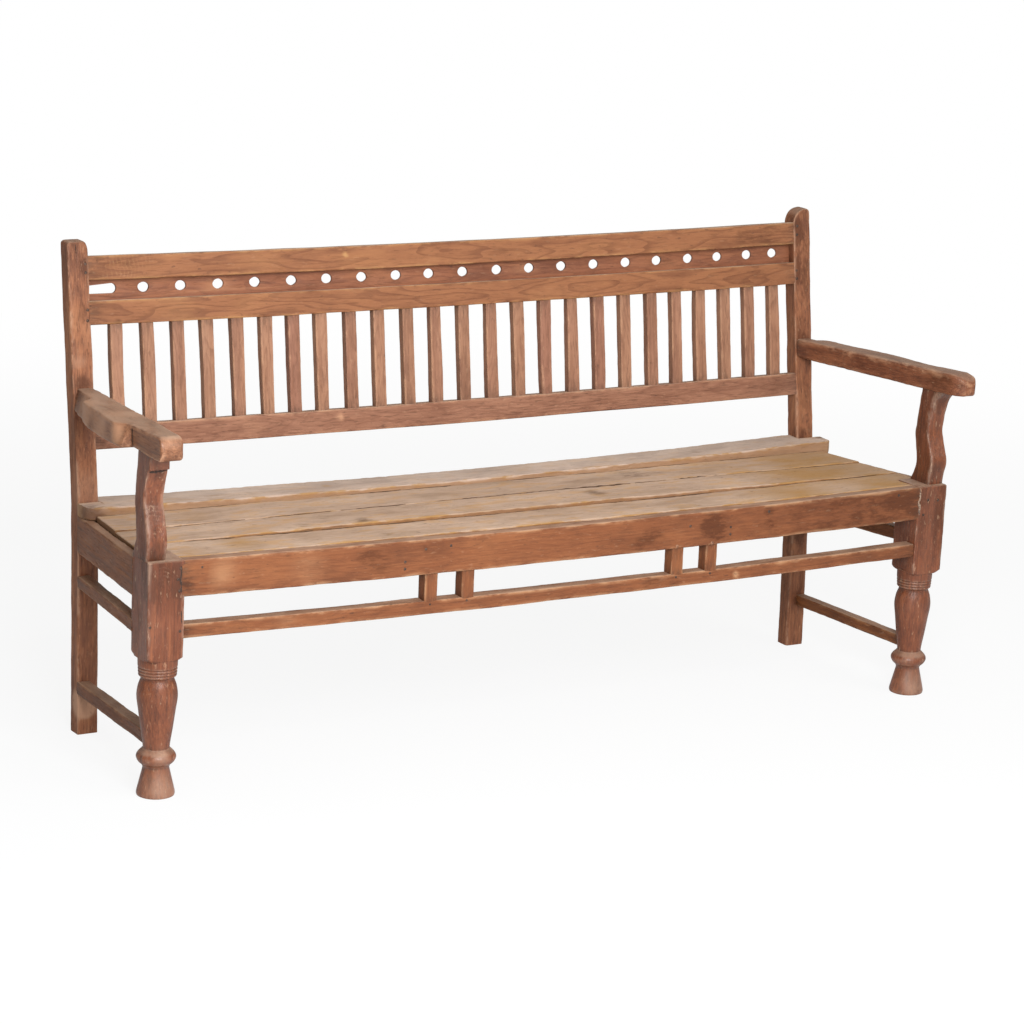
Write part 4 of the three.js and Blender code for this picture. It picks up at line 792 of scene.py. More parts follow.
# %% Smooth outlines
FOOT_SHARES = ((0, 0.97), (0.1, 1), (0.31, 0.93), (0.655, 0.8), (0.93, 0.7), (1, 0.7))
RING_SHARES = ((0, 0.68), (0.12, 0.74), (0.27, 0.9), (0.5, 1), (0.7, 0.94), (0.9, 0.76), (1, 0.665))
VASE_SHARES = ((0, 0.65), (0.1, 0.687), (0.29, 0.789), (0.54, 0.903), (0.75, 1), (0.9, 0.945), (1, 0.827))
COLLAR_SHARES = ((0, 0.84), (0.12, 0.83), (0.2, 0.948), (0.4, 0.974), (0.61, 0.987), (1, 1))
TURNED_RUNS = (
    (FOOT_SHARES, 58, 37), (RING_SHARES, 37, 38.4), (VASE_SHARES, 136, 39.3), (COLLAR_SHARES, 44, 38.5),
)
SPAN_STEPS = 5


def smoothed(shares, low, high, width):
    """A smooth line through points given as shares, as an array of (height, width)."""
    points = np.array([(low + up * (high - low), out * width) for up, out in shares])
    padded = np.concatenate([points[:1], points, points[-1:]])
    line = []
    for before, start, stop, after in zip(padded, padded[1:], padded[2:], padded[3:]):
        slope_in, slope_out = (stop - before) / 2, (after - start) / 2
        for step in range(SPAN_STEPS):
            t = step / SPAN_STEPS
            bend = (2 * start - 2 * stop + slope_in + slope_out) * t**3
            bend = bend + (3 * stop - 3 * start - 2 * slope_in - slope_out) * t**2
            line.append(bend + slope_in * t + start)
    line.append(points[-1])
    return np.array(line)


print("points on the vase outline:", len(smoothed(VASE_SHARES, 0, 136, 39.3)))

# %% [markdown]
# The foot could be turned by a Screw modifier, but rings drawn one by one can be a bit out of round, and
# they can remember where dirt sits: in the three grooves and at the necks between the forms.

# %% Turned foot
POST_BOTTOM = 275
AXIS_X = FRONT_OUTER - 75 / 2 - 2
AXIS_Y = 39
LATHE_POINTS = 56
GROOVES = (243.5, 249.5, 255.5)
GROOVE_DEPTH = 1.3
GROOVE_HALF = 1.5
NECKS = ((95, 4), (58, 3), (233, 3))
FOOT_EASE = 1.2
OUT_OF_ROUND = 0.006
LEG_HEART = (12, 55)


def dips(heights, places):
    """1 at each place and nearly 0 beside it. A place is a height and a half width."""
    return sum(np.exp(-(((heights - middle) / half) ** 2)) for middle, half in places)


def turned_outline():
    """Heights and radii of the turned foot, before its grooves."""
    lines, bottom = [], 0
    for shares, height, radius in TURNED_RUNS:
        line = smoothed(shares, bottom, bottom + height, radius)
        lines.append(line if not lines else line[1:])
        bottom += height
    profile = np.concatenate(lines)
    fine = np.arange(GROOVES[0] - 4, GROOVES[-1] + 4, 0.5)
    heights = np.unique(np.concatenate([profile[:, 0], fine, [1.0, POST_BOTTOM + 3]]))
    return heights, np.interp(heights, profile[:, 0], profile[:, 1])


def turned_shell(sign, seed):
    """The lathe-turned foot of a front leg, a little out of round."""
    heights, radii = turned_outline()
    for groove in GROOVES:
        radii -= GROOVE_DEPTH * dips(heights, [(groove, GROOVE_HALF)])
    radii[0] -= FOOT_EASE
    turns = np.linspace(0, 2 * math.pi, LATHE_POINTS, endpoint=False)
    uneven = 1 + OUT_OF_ROUND * wander(np.cos(turns) * 2 + np.sin(turns), 1.5, seed)
    across = radii[:, None] * uneven * np.cos(turns)
    deep = radii[:, None] * uneven * np.sin(turns)
    up = np.broadcast_to(heights[:, None], across.shape)
    bulge = np.gradient(np.gradient(radii, heights), heights)
    dirt = 0.8 * dips(heights, [(groove, GROOVE_HALF) for groove in GROOVES]) + 0.7 * dips(heights, NECKS)
    return {
        "places": in_scene(sign * (AXIS_X + across), AXIS_Y + deep, up),
        "grain": np.stack([across - LEG_HEART[0], deep - LEG_HEART[1], up], axis=-1) * MM,
        "edge": np.clip(-bulge * 6, 0, 1)[:, None] * 0.6,
        "joint": np.clip(dirt, 0, 1)[:, None],
    }


print("rings of a turned foot:", len(turned_outline()[0]), "with", LATHE_POINTS, "points each")

# %% [markdown]
# The square post has its lower corners turned off, so points of the section that would stand
# outside the lathe's circle are pulled in to it. That circle grows quickly over the first 9 mm.

# %% Square post
LEG_DEPTH = 78
CORNER_CIRCLE = 45
CORNER_GROWTH = 11.5
CORNER_RISE = 9
EASED_TOP = 2


def square_post(sign, seed):
    """The square part of a leg, between foot and seat."""
    lay = lambda a, b, s: (sign * a, b, s)
    turned_off = [POST_BOTTOM, 277, 279, 281.5]
    eased = SEAT_HEIGHT - EASED_TOP
    stations = np.concatenate([turned_off, spread(284, eased, 11), [469.2, SEAT_HEIGHT]])
    ease = np.maximum(0, stations - eased) * 0.8
    sides = (FRONT_INNER + ease, FRONT_OUTER - ease, ease, LEG_DEPTH - ease)
    post = stick_shell(stations, sides, 3.0, lay, seed, ends=(None, None), pith=LEG_HEART)
    middle = np.array([sign * AXIS_X * MM, AXIS_Y * MM + FRONT_LINE])
    off = post["places"][..., :2] - middle
    reach = np.linalg.norm(off, axis=-1, keepdims=True)
    allowed = (CORNER_CIRCLE + CORNER_GROWTH * (stations - POST_BOTTOM) / CORNER_RISE) * MM
    post["places"][..., :2] = middle + off * np.minimum(1, allowed[:, None, None] / reach)
    return post


print("square part:", SEAT_HEIGHT - POST_BOTTOM, "mm high")

# %% [markdown]
# The curved support is a stick whose front and rear edges follow two smooth outlines up to the
# arm. The left one was left with a small lip under the arm, the right one flares out there and
# has rounder edges, and both were scooped a little with a gouge.

# %% Curved support
ARM_ROOT = 663
ARM_THICKNESS = 41.5
UNDER_TILT = math.radians(1.5)
TOP_TILT = math.radians(2.03)
ARM_LINE = float(post_face(ARM_ROOT))
SUPPORT_THICKNESS = 42
SUPPORT_FRONTS = {
    "left": (
        (0, 0.17), (0.095, 0.128), (0.17, 0.103), (0.284, 0.154),
        (0.427, 0.269), (0.559, 0.372), (0.711, 0.282), (0.882, 0.115), (1, 0),
    ),
    "right": (
        (0, 0.18), (0.09, 0.171), (0.187, 0.103), (0.28, 0.1), (0.395, 0.235),
        (0.534, 0.36), (0.663, 0.33), (0.778, 0.26), (0.876, 0.175), (0.94, 0.06), (1, -0.1),
    ),
}
SUPPORT_BACK = (
    (0, 1), (0.104, 0.87), (0.19, 0.795), (0.365, 0.87),
    (0.507, 0.935), (0.616, 0.897), (0.83, 0.82), (1, 0.77),
)
LIP_BOTTOM = 646
LIP_FRONT = 3
SWELL_START, SWELL_RISE, SWELL = 590, 40, 1.6
HOLLOWS = {"left": ((-911, 8, 640, 14, 2.0), (-905, 18, 525, 9, 2.2)), "right": ((898, 6, 650, 17, 6.0),)}


def arm_under(y):
    """Height of an arm's underside at a depth."""
    return ARM_ROOT + (ARM_LINE - y) * math.tan(UNDER_TILT)


def arm_top(y):
    """Height of an arm's top at a depth."""
    return ARM_ROOT + ARM_THICKNESS + (ARM_LINE - y) * math.tan(TOP_TILT)


def arm_support(side, sign, seed):
    """The curved part of a leg, from the seat to the arm."""
    top = float(arm_under(0))
    front = smoothed(SUPPORT_FRONTS[side], SEAT_HEIGHT, top, LEG_DEPTH)
    rear = smoothed(SUPPORT_BACK, SEAT_HEIGHT, top, LEG_DEPTH)
    lip_edge = [LIP_BOTTOM, LIP_BOTTOM + 1.2]
    heights = np.unique(np.concatenate([[SEAT_HEIGHT - 3], spread(SEAT_HEIGHT, top + 1, 4.0), lip_edge]))
    low_b = np.interp(heights, front[:, 0], front[:, 1])
    high_b = np.interp(heights, rear[:, 0], rear[:, 1])
    if side == "left":
        low_b = np.where(heights > LIP_BOTTOM + 0.6, np.minimum(low_b, LIP_FRONT), low_b)
    swelling = 1 + SWELL * np.clip((heights - SWELL_START) / SWELL_RISE, 0, 1) * (side == "right")
    sides = (FRONT_OUTER - SUPPORT_THICKNESS, FRONT_OUTER - 0.3, low_b, high_b)
    lay = lambda a, b, s: (sign * a, b, s)
    support = stick_shell(
        heights, sides, 4.0, lay, seed, ends=(3, 3), pith=(8, 60), corners=(1, 1, swelling, 1),
    )
    for x, y, z, radius, depth in HOLLOWS[side]:
        off = np.linalg.norm(support["places"] - in_scene(x, y, z), axis=-1)
        support["places"][..., 1] += depth * MM * np.exp(-((off / (radius * MM)) ** 2))
    return support


def front_leg(side, sign, seed):
    """A whole front leg: foot, post and arm support."""
    shells = [turned_shell(sign, seed), square_post(sign, seed), arm_support(side, sign, seed + 0.4)]
    return stitched(f"front_leg_{side}", shells, seed)


for seed, (side, sign) in enumerate(SIDES):
    stands_for(front_leg(side, sign, 71 + seed))
print("support height:", round(arm_under(0) - SEAT_HEIGHT, 1), "mm")

# %% [markdown]
# ## Arms
# An arm starts narrow at the back post, steps out to its full width, comes in again over the
# support and ends in a rounded nose that overhangs the leg. Its width is given at runs from the
# back post, once along its top and once along its foot: where the two differ, its outer side
# leans, as it was hewn and not sawn.

# %% Outlines of the arms
SPLAY = math.tan(math.radians(4.69))
ARM_TOPS = {
    "left": (
        (0, 32), (60, 36), (94, 39), (118, 60), (133, 66), (236, 71),
        (328, 76), (352, 68), (373, 54), (496, 47), (529, 46),
    ),
    "right": (
        (0, 34), (28, 35), (40, 55), (150, 57), (265, 56), (330, 52), (390, 47), (438, 49), (529, 50),
    ),
}
ARM_FOOTS = {
    "left": (
        (0, 41), (14, 43), (100, 61), (150, 71), (185, 74), (300, 76),
        (366, 76), (374, 60), (379, 51), (490, 47), (529, 46),
    ),
    "right": ARM_TOPS["right"],
}


def arm_width(outline, run):
    """Width of an arm at runs from the back post."""
    line = smoothed(outline, 0, 1, 1)
    return np.interp(run, line[:, 0], line[:, 1])


def arm_start(run):
    """Where the inner side of an arm is at runs from the back post."""
    return BACK_INNER + 3 + run * SPLAY


print("left arm's width half way:", round(float(arm_width(ARM_TOPS["left"], 236))), "mm")

# %% [markdown]
# The nose is quarter ellipses: its top falls over a long one and its chin rises over a short one.
# Stations crowd together towards the tip, where a ring changes fastest.

# %% Arms
NOSE_REACHES = {"left": 61, "right": 67}
NOSE_ZONE = 42
NOSE_TOP = {"left": (19, 26), "right": (38, 25)}
NOSE_UNDER = 9
NOSE_INNER = {"left": (7, 7), "right": (40, 34)}
NOSE_OUTER = {"left": 7, "right": 18}
ARM_EDGES = {"left": (1.2, 1, 1, 1), "right": (1.1, 2.0, 1.2, 1)}


def nose_heights(side, nose, y):
    """Underside and top of an arm at depths, rounded towards its nose."""
    tip = y - nose
    fall_length, fall = NOSE_TOP[side]
    chin = arm_top(nose + fall_length) - fall
    top_way = np.clip(1 - tip / fall_length, 0, 1)
    under_way = np.clip(1 - tip / NOSE_UNDER, 0, 1)
    under_start = arm_under(nose + NOSE_UNDER)
    top = np.where(top_way > 0, chin + fall * np.sqrt(1 - top_way**2), arm_top(y))
    under = np.where(under_way > 0, chin - (chin - under_start) * np.sqrt(1 - under_way**2), arm_under(y))
    return under, top


def arm(side, sign, seed):
    """One arm, from the back post to its nose."""
    nose = -NOSE_REACHES[side]
    bend = nose + NOSE_ZONE * (1 - np.cos(np.linspace(0, math.pi / 2, 28)))
    y = np.concatenate([spread(ARM_LINE + BURIED, nose + NOSE_ZONE, 6), bend[::-1][1:]])
    run = np.maximum(ARM_LINE - y, 0)
    tip = y - nose
    length, depth = NOSE_INNER[side]
    inner = arm_start(run) + shoulder(length - tip, depth, length)
    outer_cut = shoulder(NOSE_OUTER[side] - tip, NOSE_OUTER[side], NOSE_OUTER[side])
    outer = arm_start(run) + arm_width(ARM_FOOTS[side], run) - outer_cut

    def narrowed(a, b, s):
        """The top of the arm follows its own outline, so the outer side leans where the two differ."""
        run_here = np.maximum(ARM_LINE + s, 0)
        level = np.clip((b - arm_under(-s)) / (arm_top(-s) - arm_under(-s)), 0, 1)
        share = arm_width(ARM_TOPS[side], run_here) / arm_width(ARM_FOOTS[side], run_here)
        return arm_start(run_here) + (a - arm_start(run_here)) * (1 + (share - 1) * level), b

    lay = lambda a, b, s: (sign * a, -s, b)
    shell = stick_shell(
        -y, (inner, outer, *nose_heights(side, nose, y)), 4.6, lay, seed, ends=(BURIED, None),
        pith=(10, -50), corners=ARM_EDGES[side], shape=narrowed,
    )
    return stitched(f"arm_{side}", [shell], seed)


for seed, (side, sign) in enumerate(SIDES):
    stands_for(arm(side, sign, 81 + seed))
print("left arm's run:", round(ARM_LINE + NOSE_REACHES["left"]), "mm")

# %% [markdown]
# ## Sides
# The side aprons and stretchers run from leg to post, a little inward towards the back, because
# the seat is narrower there. They fall slightly to the back.

# %% Side aprons and stretchers
BACK_OUTER = BACK_INNER + POST_WIDTH
SIDE_SLOPE = (FRONT_OUTER - BACK_OUTER) / (KNEE_LINE - LEG_DEPTH)
SIDE_FALL = math.tan(math.radians(1.9))
SIDE_TOP = 465
SIDE_APRON = (SIDE_TOP, 77, 21)
SIDE_STRETCHERS = {"left": (342, 24, 26), "right": (350, 28, 26)}
LOW_STRETCHERS = {"left": (27, 106, 97), "right": (24, 110, 106)}


def side_face(y):
    """Outer face of the bench's side at a depth."""
    return FRONT_OUTER - (y - LEG_DEPTH) * SIDE_SLOPE


def side_member(name, sign, top, height, thickness, radius, seed):
    """An apron or stretcher along a side."""
    stations = spread(LEG_DEPTH - BURIED, KNEE_LINE + BURIED - 1, 10)
    sides = (0, thickness, top - height, top)
    lay = lambda a, b, s: (sign * (side_face(s) - a), s, b - (s - LEG_DEPTH) * SIDE_FALL)
    shell = stick_shell(stations, sides, radius, lay, seed, ends=(BURIED, BURIED))
    return stitched(name, [shell], seed)


def low_stretcher(side, sign, seed):
    """The lowest stretcher, from the turned leg to the back post."""
    size, front, back = LOW_STRETCHERS[side]
    half = size / 2
    rear = float(post_face(back)) + BURIED
    stations = spread(AXIS_Y + 22, rear, 9)
    lean = (BACK_OUTER - half - AXIS_X) / (rear - AXIS_Y)
    drop = (back - front) / (rear - AXIS_Y)
    lay = lambda a, b, s: (sign * (AXIS_X + lean * (s - AXIS_Y) + a), s, front + drop * (s - AXIS_Y) + b)
    shell = stick_shell(stations, (-half, half, -half, half), 2.8, lay, seed, ends=(9, BURIED))
    return stitched(f"lower_side_stretcher_{side}", [shell], seed)


for seed, (side, sign) in enumerate(SIDES):
    stands_for(side_member(f"side_apron_{side}", sign, *SIDE_APRON, 4.0, 91 + seed))
    upper = side_member(f"upper_side_stretcher_{side}", sign, *SIDE_STRETCHERS[side], 2.6, 93 + seed)
    stands_for(upper)
    stands_for(low_stretcher(side, sign, 95 + seed))
print("side pieces made:", 3 * len(SIDES))

# %% [markdown]
# ## Seat boards
# Four planks lie side by side. Their long edges are ragged from wear, so each edge wanders a
# little and its radius changes a lot. The front one is notched round the legs. Each board takes
# its share of the room between the front apron and the back of the posts, and the ends of all of
# them follow the sides of the bench.

# %% Seat boards
BOARD_ROOM = KNEE_LINE + POST_DEPTH - APRON_THICKNESS
BOARDS = {"front": (0.2472, 5.4, 0), "second": (0.2583, -2, 0), "third": (0.2759, 2, 2)}
BOARD_GAP = 2
BOARD_THICKNESS = 18
BOARD_CORNERS = (1.2, 1.7, 0.6, 0.6)
SEAT_FALL = math.tan(math.radians(1.17))
RAGGED = 0.7
END_CLEAR = 23
END_EASE = 1.2
NOTCH_CLEAR = 0.5
NOTCH_STEP = 0.2


def ragged(stations, seed):
    """How far a worn board edge wanders."""
    return RAGGED * (wander(stations, 60, seed) + 0.6 * wander(stations, 14, seed + 2))


def plain_board(name, front, width, drop, lift, seed):
    """One of the three flush boards."""
    rear = front + width
    end = side_face((front + rear) / 2) - END_CLEAR
    notch = FRONT_INNER - NOTCH_CLEAR
    notched = front < LEG_DEPTH
    stations = np.concatenate([spread(-end, end, 9), [-end + 1.5, end - 1.5]])
    if notched:
        stations = np.concatenate([stations, [-notch - NOTCH_STEP, -notch, notch, notch + NOTCH_STEP]])
    stations = np.unique(stations)
    low_a = front + ragged(stations, seed)
    if notched:
        low_a = np.where(np.abs(stations) > notch + NOTCH_STEP / 2, LEG_DEPTH + NOTCH_CLEAR, low_a)
    high_a = rear + ragged(stations, seed + 3)
    ease = END_EASE * (np.abs(stations) > end - 0.5)
    taper = lambda a, s: s * (side_face(a) - END_CLEAR) / end
    lay = lambda a, b, s: (taper(a, s), a, SEAT_HEIGHT - a * SEAT_FALL + b - sag(s, drop))
    shell = stick_shell(
        stations, (low_a, high_a, -BOARD_THICKNESS + ease, lift - ease), 2.4, lay, seed,
        ends=(None, None), marks=0.6, knocks=0.6, pith=(-15, -60), corners=BOARD_CORNERS,
    )
    return stitched(f"seat_board_{name}", [shell], seed)


front = APRON_THICKNESS + BOARD_GAP
seams = {}
for seed, (name, (share, drop, lift)) in enumerate(BOARDS.items(), start=101):
    width = share * BOARD_ROOM
    stands_for(plain_board(name, front, width, drop, lift, seed))
    front += width + BOARD_GAP
    seams[name] = front - BOARD_GAP
print("boards end", round(seams["third"]), "mm behind the front")

# %% [markdown]
# The rear board is thicker and stands higher. It is notched round the back posts and runs past
# them. Its front corners are rounded, its left end is worn shorter, and it lies a little askew.

# %% Rear board
REAR_FRONT = front
REAR_TOP = SEAT_HEIGHT + 12
REAR_BOTTOM = SIDE_TOP - (REAR_FRONT - LEG_DEPTH) * SIDE_FALL + 0.3
REAR_END = BACK_OUTER + 13
REAR_LEFT_WEAR = 11
REAR_CORNER = 18
REAR_LEAN = 2
REAR_CORNERS = (1, 1.6, 1, 1)


def rear_board(seed):
    """The thick board between and round the back posts."""
    notch = BACK_INNER - NOTCH_CLEAR
    corner = REAR_END - REAR_CORNER * (1 - np.sin(np.linspace(0, math.pi / 2, 9)))
    half = np.concatenate([spread(0, notch, 9), [notch, notch + NOTCH_STEP]])
    stations = np.unique(np.concatenate([-half, half, REAR_LEFT_WEAR - corner, corner]))
    reach = REAR_END - REAR_LEFT_WEAR * (stations < 0)
    past = np.abs(stations) - (reach - REAR_CORNER)
    low_a = REAR_FRONT + shoulder(past, REAR_CORNER, REAR_CORNER) * 0.98 + ragged(stations, seed)
    post_front = float(post_face(REAR_BOTTOM)) - NOTCH_CLEAR
    high_a = np.where(np.abs(stations) > notch + NOTCH_STEP / 2, post_front, KNEE_LINE + POST_DEPTH)
    top = REAR_TOP + REAR_LEAN * stations / REAR_END
    lay = lambda a, b, s: (s, a, b - sag(s, REAR_SAG))
    shell = stick_shell(
        stations, (low_a, high_a, REAR_BOTTOM, top), 3.4, lay, seed,
        ends=(None, None), marks=0.6, knocks=0.6, pith=(10, -60), corners=REAR_CORNERS,
    )
    return stitched("seat_board_rear", [shell], seed)


stands_for(rear_board(105))
print("rear board thickness:", round(REAR_TOP - REAR_BOTTOM, 1), "mm")

# %% [markdown]
# ## Nails, cracks and filler
# Old repairs are small but the eye looks for them. A nail head is a flattened, slightly uneven
# dome. Each mark is laid on the face it belongs to, along that face's own outward line.

# %% Domes for nail heads
FRONTWARD = np.array((0.0, -1.0, 0.0))
LEANWARD = np.array((0.0, -math.cos(BACK_RAKE), math.sin(BACK_RAKE)))
SIDEWARD = np.array((-1.0, 0.0, 0.0))
UPWARD = np.array((0.0, 0.0, 1.0))
HEAD_POINTS = 12
HEAD_RINGS = ((1.0, -0.6), (0.92, 0.35), (0.5, 0.75))
HEAD_WEAR = 0.14
small_marks = {}


def small_piece(name, verts, faces):
    """A small piece from bench points in millimetres."""
    mesh = bpy.data.meshes.new(name)
    mesh.from_pydata(in_scene(*np.array(verts).T).tolist(), [], faces)
    mesh.shade_smooth()
    piece = linked(name, mesh)
    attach(piece, "root")
    small_marks[name] = piece


def domes(name, marks, outward):
    """Nail heads. Each mark is x, y, z and a radius."""
    verts, faces = [], []
    flat_one = np.cross(outward, UPWARD)
    flat_two = np.cross(outward, flat_one)
    for number, (x, y, z, radius) in enumerate(marks):
        first = len(verts)
        middle = np.array((x, y, z))
        for share, rise in HEAD_RINGS:
            for point in range(HEAD_POINTS):
                turn = 2 * math.pi * point / HEAD_POINTS
                uneven = 1 + HEAD_WEAR * wander([math.cos(turn) + number], 0.8, number)[0]
                flat = flat_one * math.cos(turn) + flat_two * math.sin(turn)
                verts.append(middle + flat * (radius * share * uneven) + outward * rise)
        faces += ring_quads(first, len(HEAD_RINGS), HEAD_POINTS)
        faces.append(tuple(range(len(verts) - HEAD_POINTS, len(verts))))
    small_piece(name, verts, faces)


print("points of a nail head:", HEAD_POINTS * len(HEAD_RINGS))

# %% [markdown]
# A crack or a line of filler is a narrow ribbon, a little raised along its middle, ragged at its sides and
# running out to a point at both ends. The same dark ribbon paints the line of shadow under the lip of the
# left support.

# %% Ribbons for cracks, filler and a painted shadow line
RIBBON_STEP = 2.5
RIBBON_ROOT = 0.3
RIBBON_CREST = 0.45
RIBBON_RAGGED = 0.6


def ribbons(name, lines, outward):
    """Cracks, filler, seam dirt and a painted shadow line. Each line is a start, a stop (both x, y, z) and a
    width.
    """
    verts, faces = [], []
    for number, (start, stop, width) in enumerate(lines):
        start, stop = np.array(start, float), np.array(stop, float)
        along = stop - start
        steps = max(4, int(np.linalg.norm(along) / RIBBON_STEP))
        side = np.cross(outward, along / np.linalg.norm(along))
        for step in range(steps + 1):
            way = step / steps
            ends = min(1.0, 6 * min(way, 1 - way) + 0.15)
            left_wear, right_wear, drift = wander([way * 9, way * 9 + 40, way * 3 + 80], 1.0, number)
            middle = start + along * way + side * width * 0.3 * drift
            half = width / 2 * ends
            verts.append(middle - side * half * (1 + RIBBON_RAGGED * left_wear) - outward * RIBBON_ROOT)
            verts.append(middle + outward * RIBBON_CREST)
            verts.append(middle + side * half * (1 + RIBBON_RAGGED * right_wear) - outward * RIBBON_ROOT)
            if step:
                one = len(verts) - 6
                faces += [(one, one + 1, one + 4, one + 3), (one + 1, one + 2, one + 5, one + 4)]
    small_piece(name, verts, faces)


print("a 50 mm crack has", int(50 / RIBBON_STEP), "steps")

# %% [markdown]
# Dirt packs the seams between the boards, in broken runs and not in one line. Each run is cut
# into short ribbons that follow the sag of the board in front of it.

# %% Dirt in the seat's seams
SEAM_STEP = 90
SEAM_WIDENING = 1.4
SEAM_DIRT = {
    "front": (121, (
        (-834, -690, 3.5), (-660, -520, 2.5), (-500, -353, 3), (-353, -64, 5), (-60, 45, 6),
        (137, 290, 5), (290, 417, 4.5), (502, 687, 4.5), (700, 847, 3),
    )),
    "second": (255, (
        (-764, -611, 3.5), (-560, -420, 2.5), (-398, -250, 4), (-179, 24, 5), (24, 289, 7),
        (300, 380, 3), (400, 480, 6), (500, 665, 3.5), (665, 846, 3),
    )),
    "third": (372, (
        (-872, -807, 5), (-790, -560, 2.5), (-312, -74, 4), (60, 280, 3), (330, 520, 3.5), (600, 860, 3),
    )),
}


def chained(points, width):
    """Ribbon lines from each point to the next."""
    return [(start, stop, width) for start, stop in zip(points, points[1:])]


def seam_lines():
    """Short ribbons along the rear edge of each flush board."""
    lines = []
    for name, (seed, runs) in SEAM_DIRT.items():
        drop, lift = BOARDS[name][1:]
        for start, stop, width in runs:
            places = spread(start, stop, SEAM_STEP)
            depths = seams[name] + 1.2 * wander(places, 70, seed)
            heights = SEAT_HEIGHT - seams[name] * SEAT_FALL - sag(places, drop) + lift - 0.2
            lines += chained(list(zip(places, depths, heights)), SEAM_WIDENING * width)
    return lines


print("ribbons in the seams:", len(seam_lines()))

# %% [markdown]
# A few helpers find places on a back post, on a rail and up the outer side of the left arm. Then every nail,
# peg, crack and line of filler gets its place, and so does a painted shadow line under the left support's
# lip. Those on the front lie at y = 0.

# %% Place the small marks
NAIL_RADIUS = {"front": 3.2, "stretcher": 2.6, "back": 3.4}
ARM_MARK_LIFT = 0.9
FRONT_NAILS = (
    (-387, 422), (-387, 408), (-342, 444), (-286, 446), (-822, 453), (276, 436), (376, 425),
    (376, 410), (470, 450), (804, 457), (-871, 434), (-927, 345), (-865, 332), (-868, 411),
    (873, 408), (883, 440), (910, 438), (-866, 455),
)
STRETCHER_NAILS = (-326, -243, 250, 334)
POST_NAILS = (
    (-853, 947), (-853, 930), (-852, 857), (-853, 836), (856, 954), (855, 935), (852, 856), (853, 838),
)


def on_post(x, z):
    """A place on the face of a back post."""
    return x, float(post_face(z)), z


def on_rail(x, rise):
    """A place on the face of a rail."""
    return leaned(x, RAIL_INSET, rise)


def up_left_arm(run, level):
    """A place on the outer side of the left arm, from 0 at its underside to 1 at its top."""
    y = ARM_LINE - run
    low, high = float(arm_under(y)), float(arm_top(y))
    foot, top = arm_width(ARM_FOOTS["left"], run), arm_width(ARM_TOPS["left"], run)
    side = arm_start(run) + ARM_MARK_LIFT + foot + (top - foot) * level
    return -side, y, low + (high - low) * level


front_nails = [(x, 0, z, NAIL_RADIUS["front"]) for x, z in FRONT_NAILS]
front_nails += [(x, STRETCHER_FRONT, 329, NAIL_RADIUS["stretcher"]) for x in STRETCHER_NAILS]
domes("front_nails", front_nails, FRONTWARD)
domes("back_nails", [(*on_post(x, z), NAIL_RADIUS["back"]) for x, z in POST_NAILS], LEANWARD)
domes("pale_pegs", [(246, 0, 396, 4), (332, 0, 395, 4), (399, 4, 320, 2.0)], FRONTWARD)
domes("side_nail", [(854, 443, 684, 4)], SIDEWARD)
ribbons("front_filler", [((862, 0, 408), (861, 0, 464), 6.0)], FRONTWARD)
ribbons("front_cracks_and_lip_shadow", [
    ((-864, 0, 406), (-865, 0, 460), 5.0), ((-862, 0, 345), (-863, 0, 372), 2.5),
    ((-858, 0, 420), (-857, 0, 452), 3.5),
    # The first ribbon here is no crack: it is the dark line of shade under the left support's lip, painted.
    ((-930, 10, 642), (-893, 10, 644), 3.0), ((-918, 17, 522), (-896, 17, 529), 3.0),
], FRONTWARD)
ribbons("arm_crack", chained([up_left_arm(386, level) for level in (0.1, 0.5, 0.86)], 3.2), SIDEWARD)
ribbons("seam_dirt", seam_lines(), UPWARD)
ribbons("back_cracks", [
    (on_post(-872, 968), on_post(-872, 986), 2.2),
    (on_rail(-828, TOP_RISE + 26), on_rail(-827, TOP_RISE + 42), 2.2),
    (on_rail(-836, LOW_RISE + 6), on_rail(-836, LOW_RISE + 24), 2.4),
    (on_rail(-808, LOW_RISE + 8), on_rail(-808, LOW_RISE + 26), 2.4),
], LEANWARD)
print("small marks:", sorted(small_marks))

# %% [markdown]
# ## Writing finishes as sums
# A node tree is easier to read as arithmetic. A small class wraps one socket: adding or
# multiplying two wires makes a Math node, and `1 - mask` works too. Every other node is made by
# one method that takes its type, its settings and what goes into its sockets.


# %% The wire class
class Wire:
    """A node's output socket that can be used in sums."""

    tree = None

    def __init__(self, socket):
        self.socket = socket

    @classmethod
    def node(cls, kind, settings=(), sockets=(), out=0):
        """Any node: settings are set first, then values or wires go to its sockets."""
        made_node = cls.tree.nodes.new(kind)
        for name, value in dict(settings).items():
            setattr(made_node, name, value)
        for key, value in dict(sockets).items():
            if isinstance(value, Wire):
                value.into(made_node.inputs[key])
            else:
                made_node.inputs[key].default_value = value
        return cls(made_node.outputs[out])

    def into(self, socket):
        """Plug the wire into a socket."""
        Wire.tree.links.new(self.socket, socket)

    @staticmethod
    def maths(operation, first, second):
        """A Math node."""
        return Wire.node("ShaderNodeMath", {"operation": operation}, {0: first, 1: second})

    def __add__(self, other):
        return self.maths("ADD", self, other)

    def __radd__(self, other):
        return self.maths("ADD", other, self)

    def __sub__(self, other):
        return self.maths("SUBTRACT", self, other)

    def __rsub__(self, other):
        return self.maths("SUBTRACT", other, self)

    def __mul__(self, other):
        return self.maths("MULTIPLY", self, other)

    def __rmul__(self, other):
        return self.maths("MULTIPLY", other, self)


operators = [name.strip("_") for name in vars(Wire) if name.endswith(("add__", "sub__", "mul__"))]
print("operators that make Math nodes:", operators)

# %% [markdown]
# Some nodes are wanted again and again: a soft step, a mix of two colours, sums on vectors, noise,
# and one measure out of three. Colours are written as on a paint card and turned into the linear
# light that shaders count in.


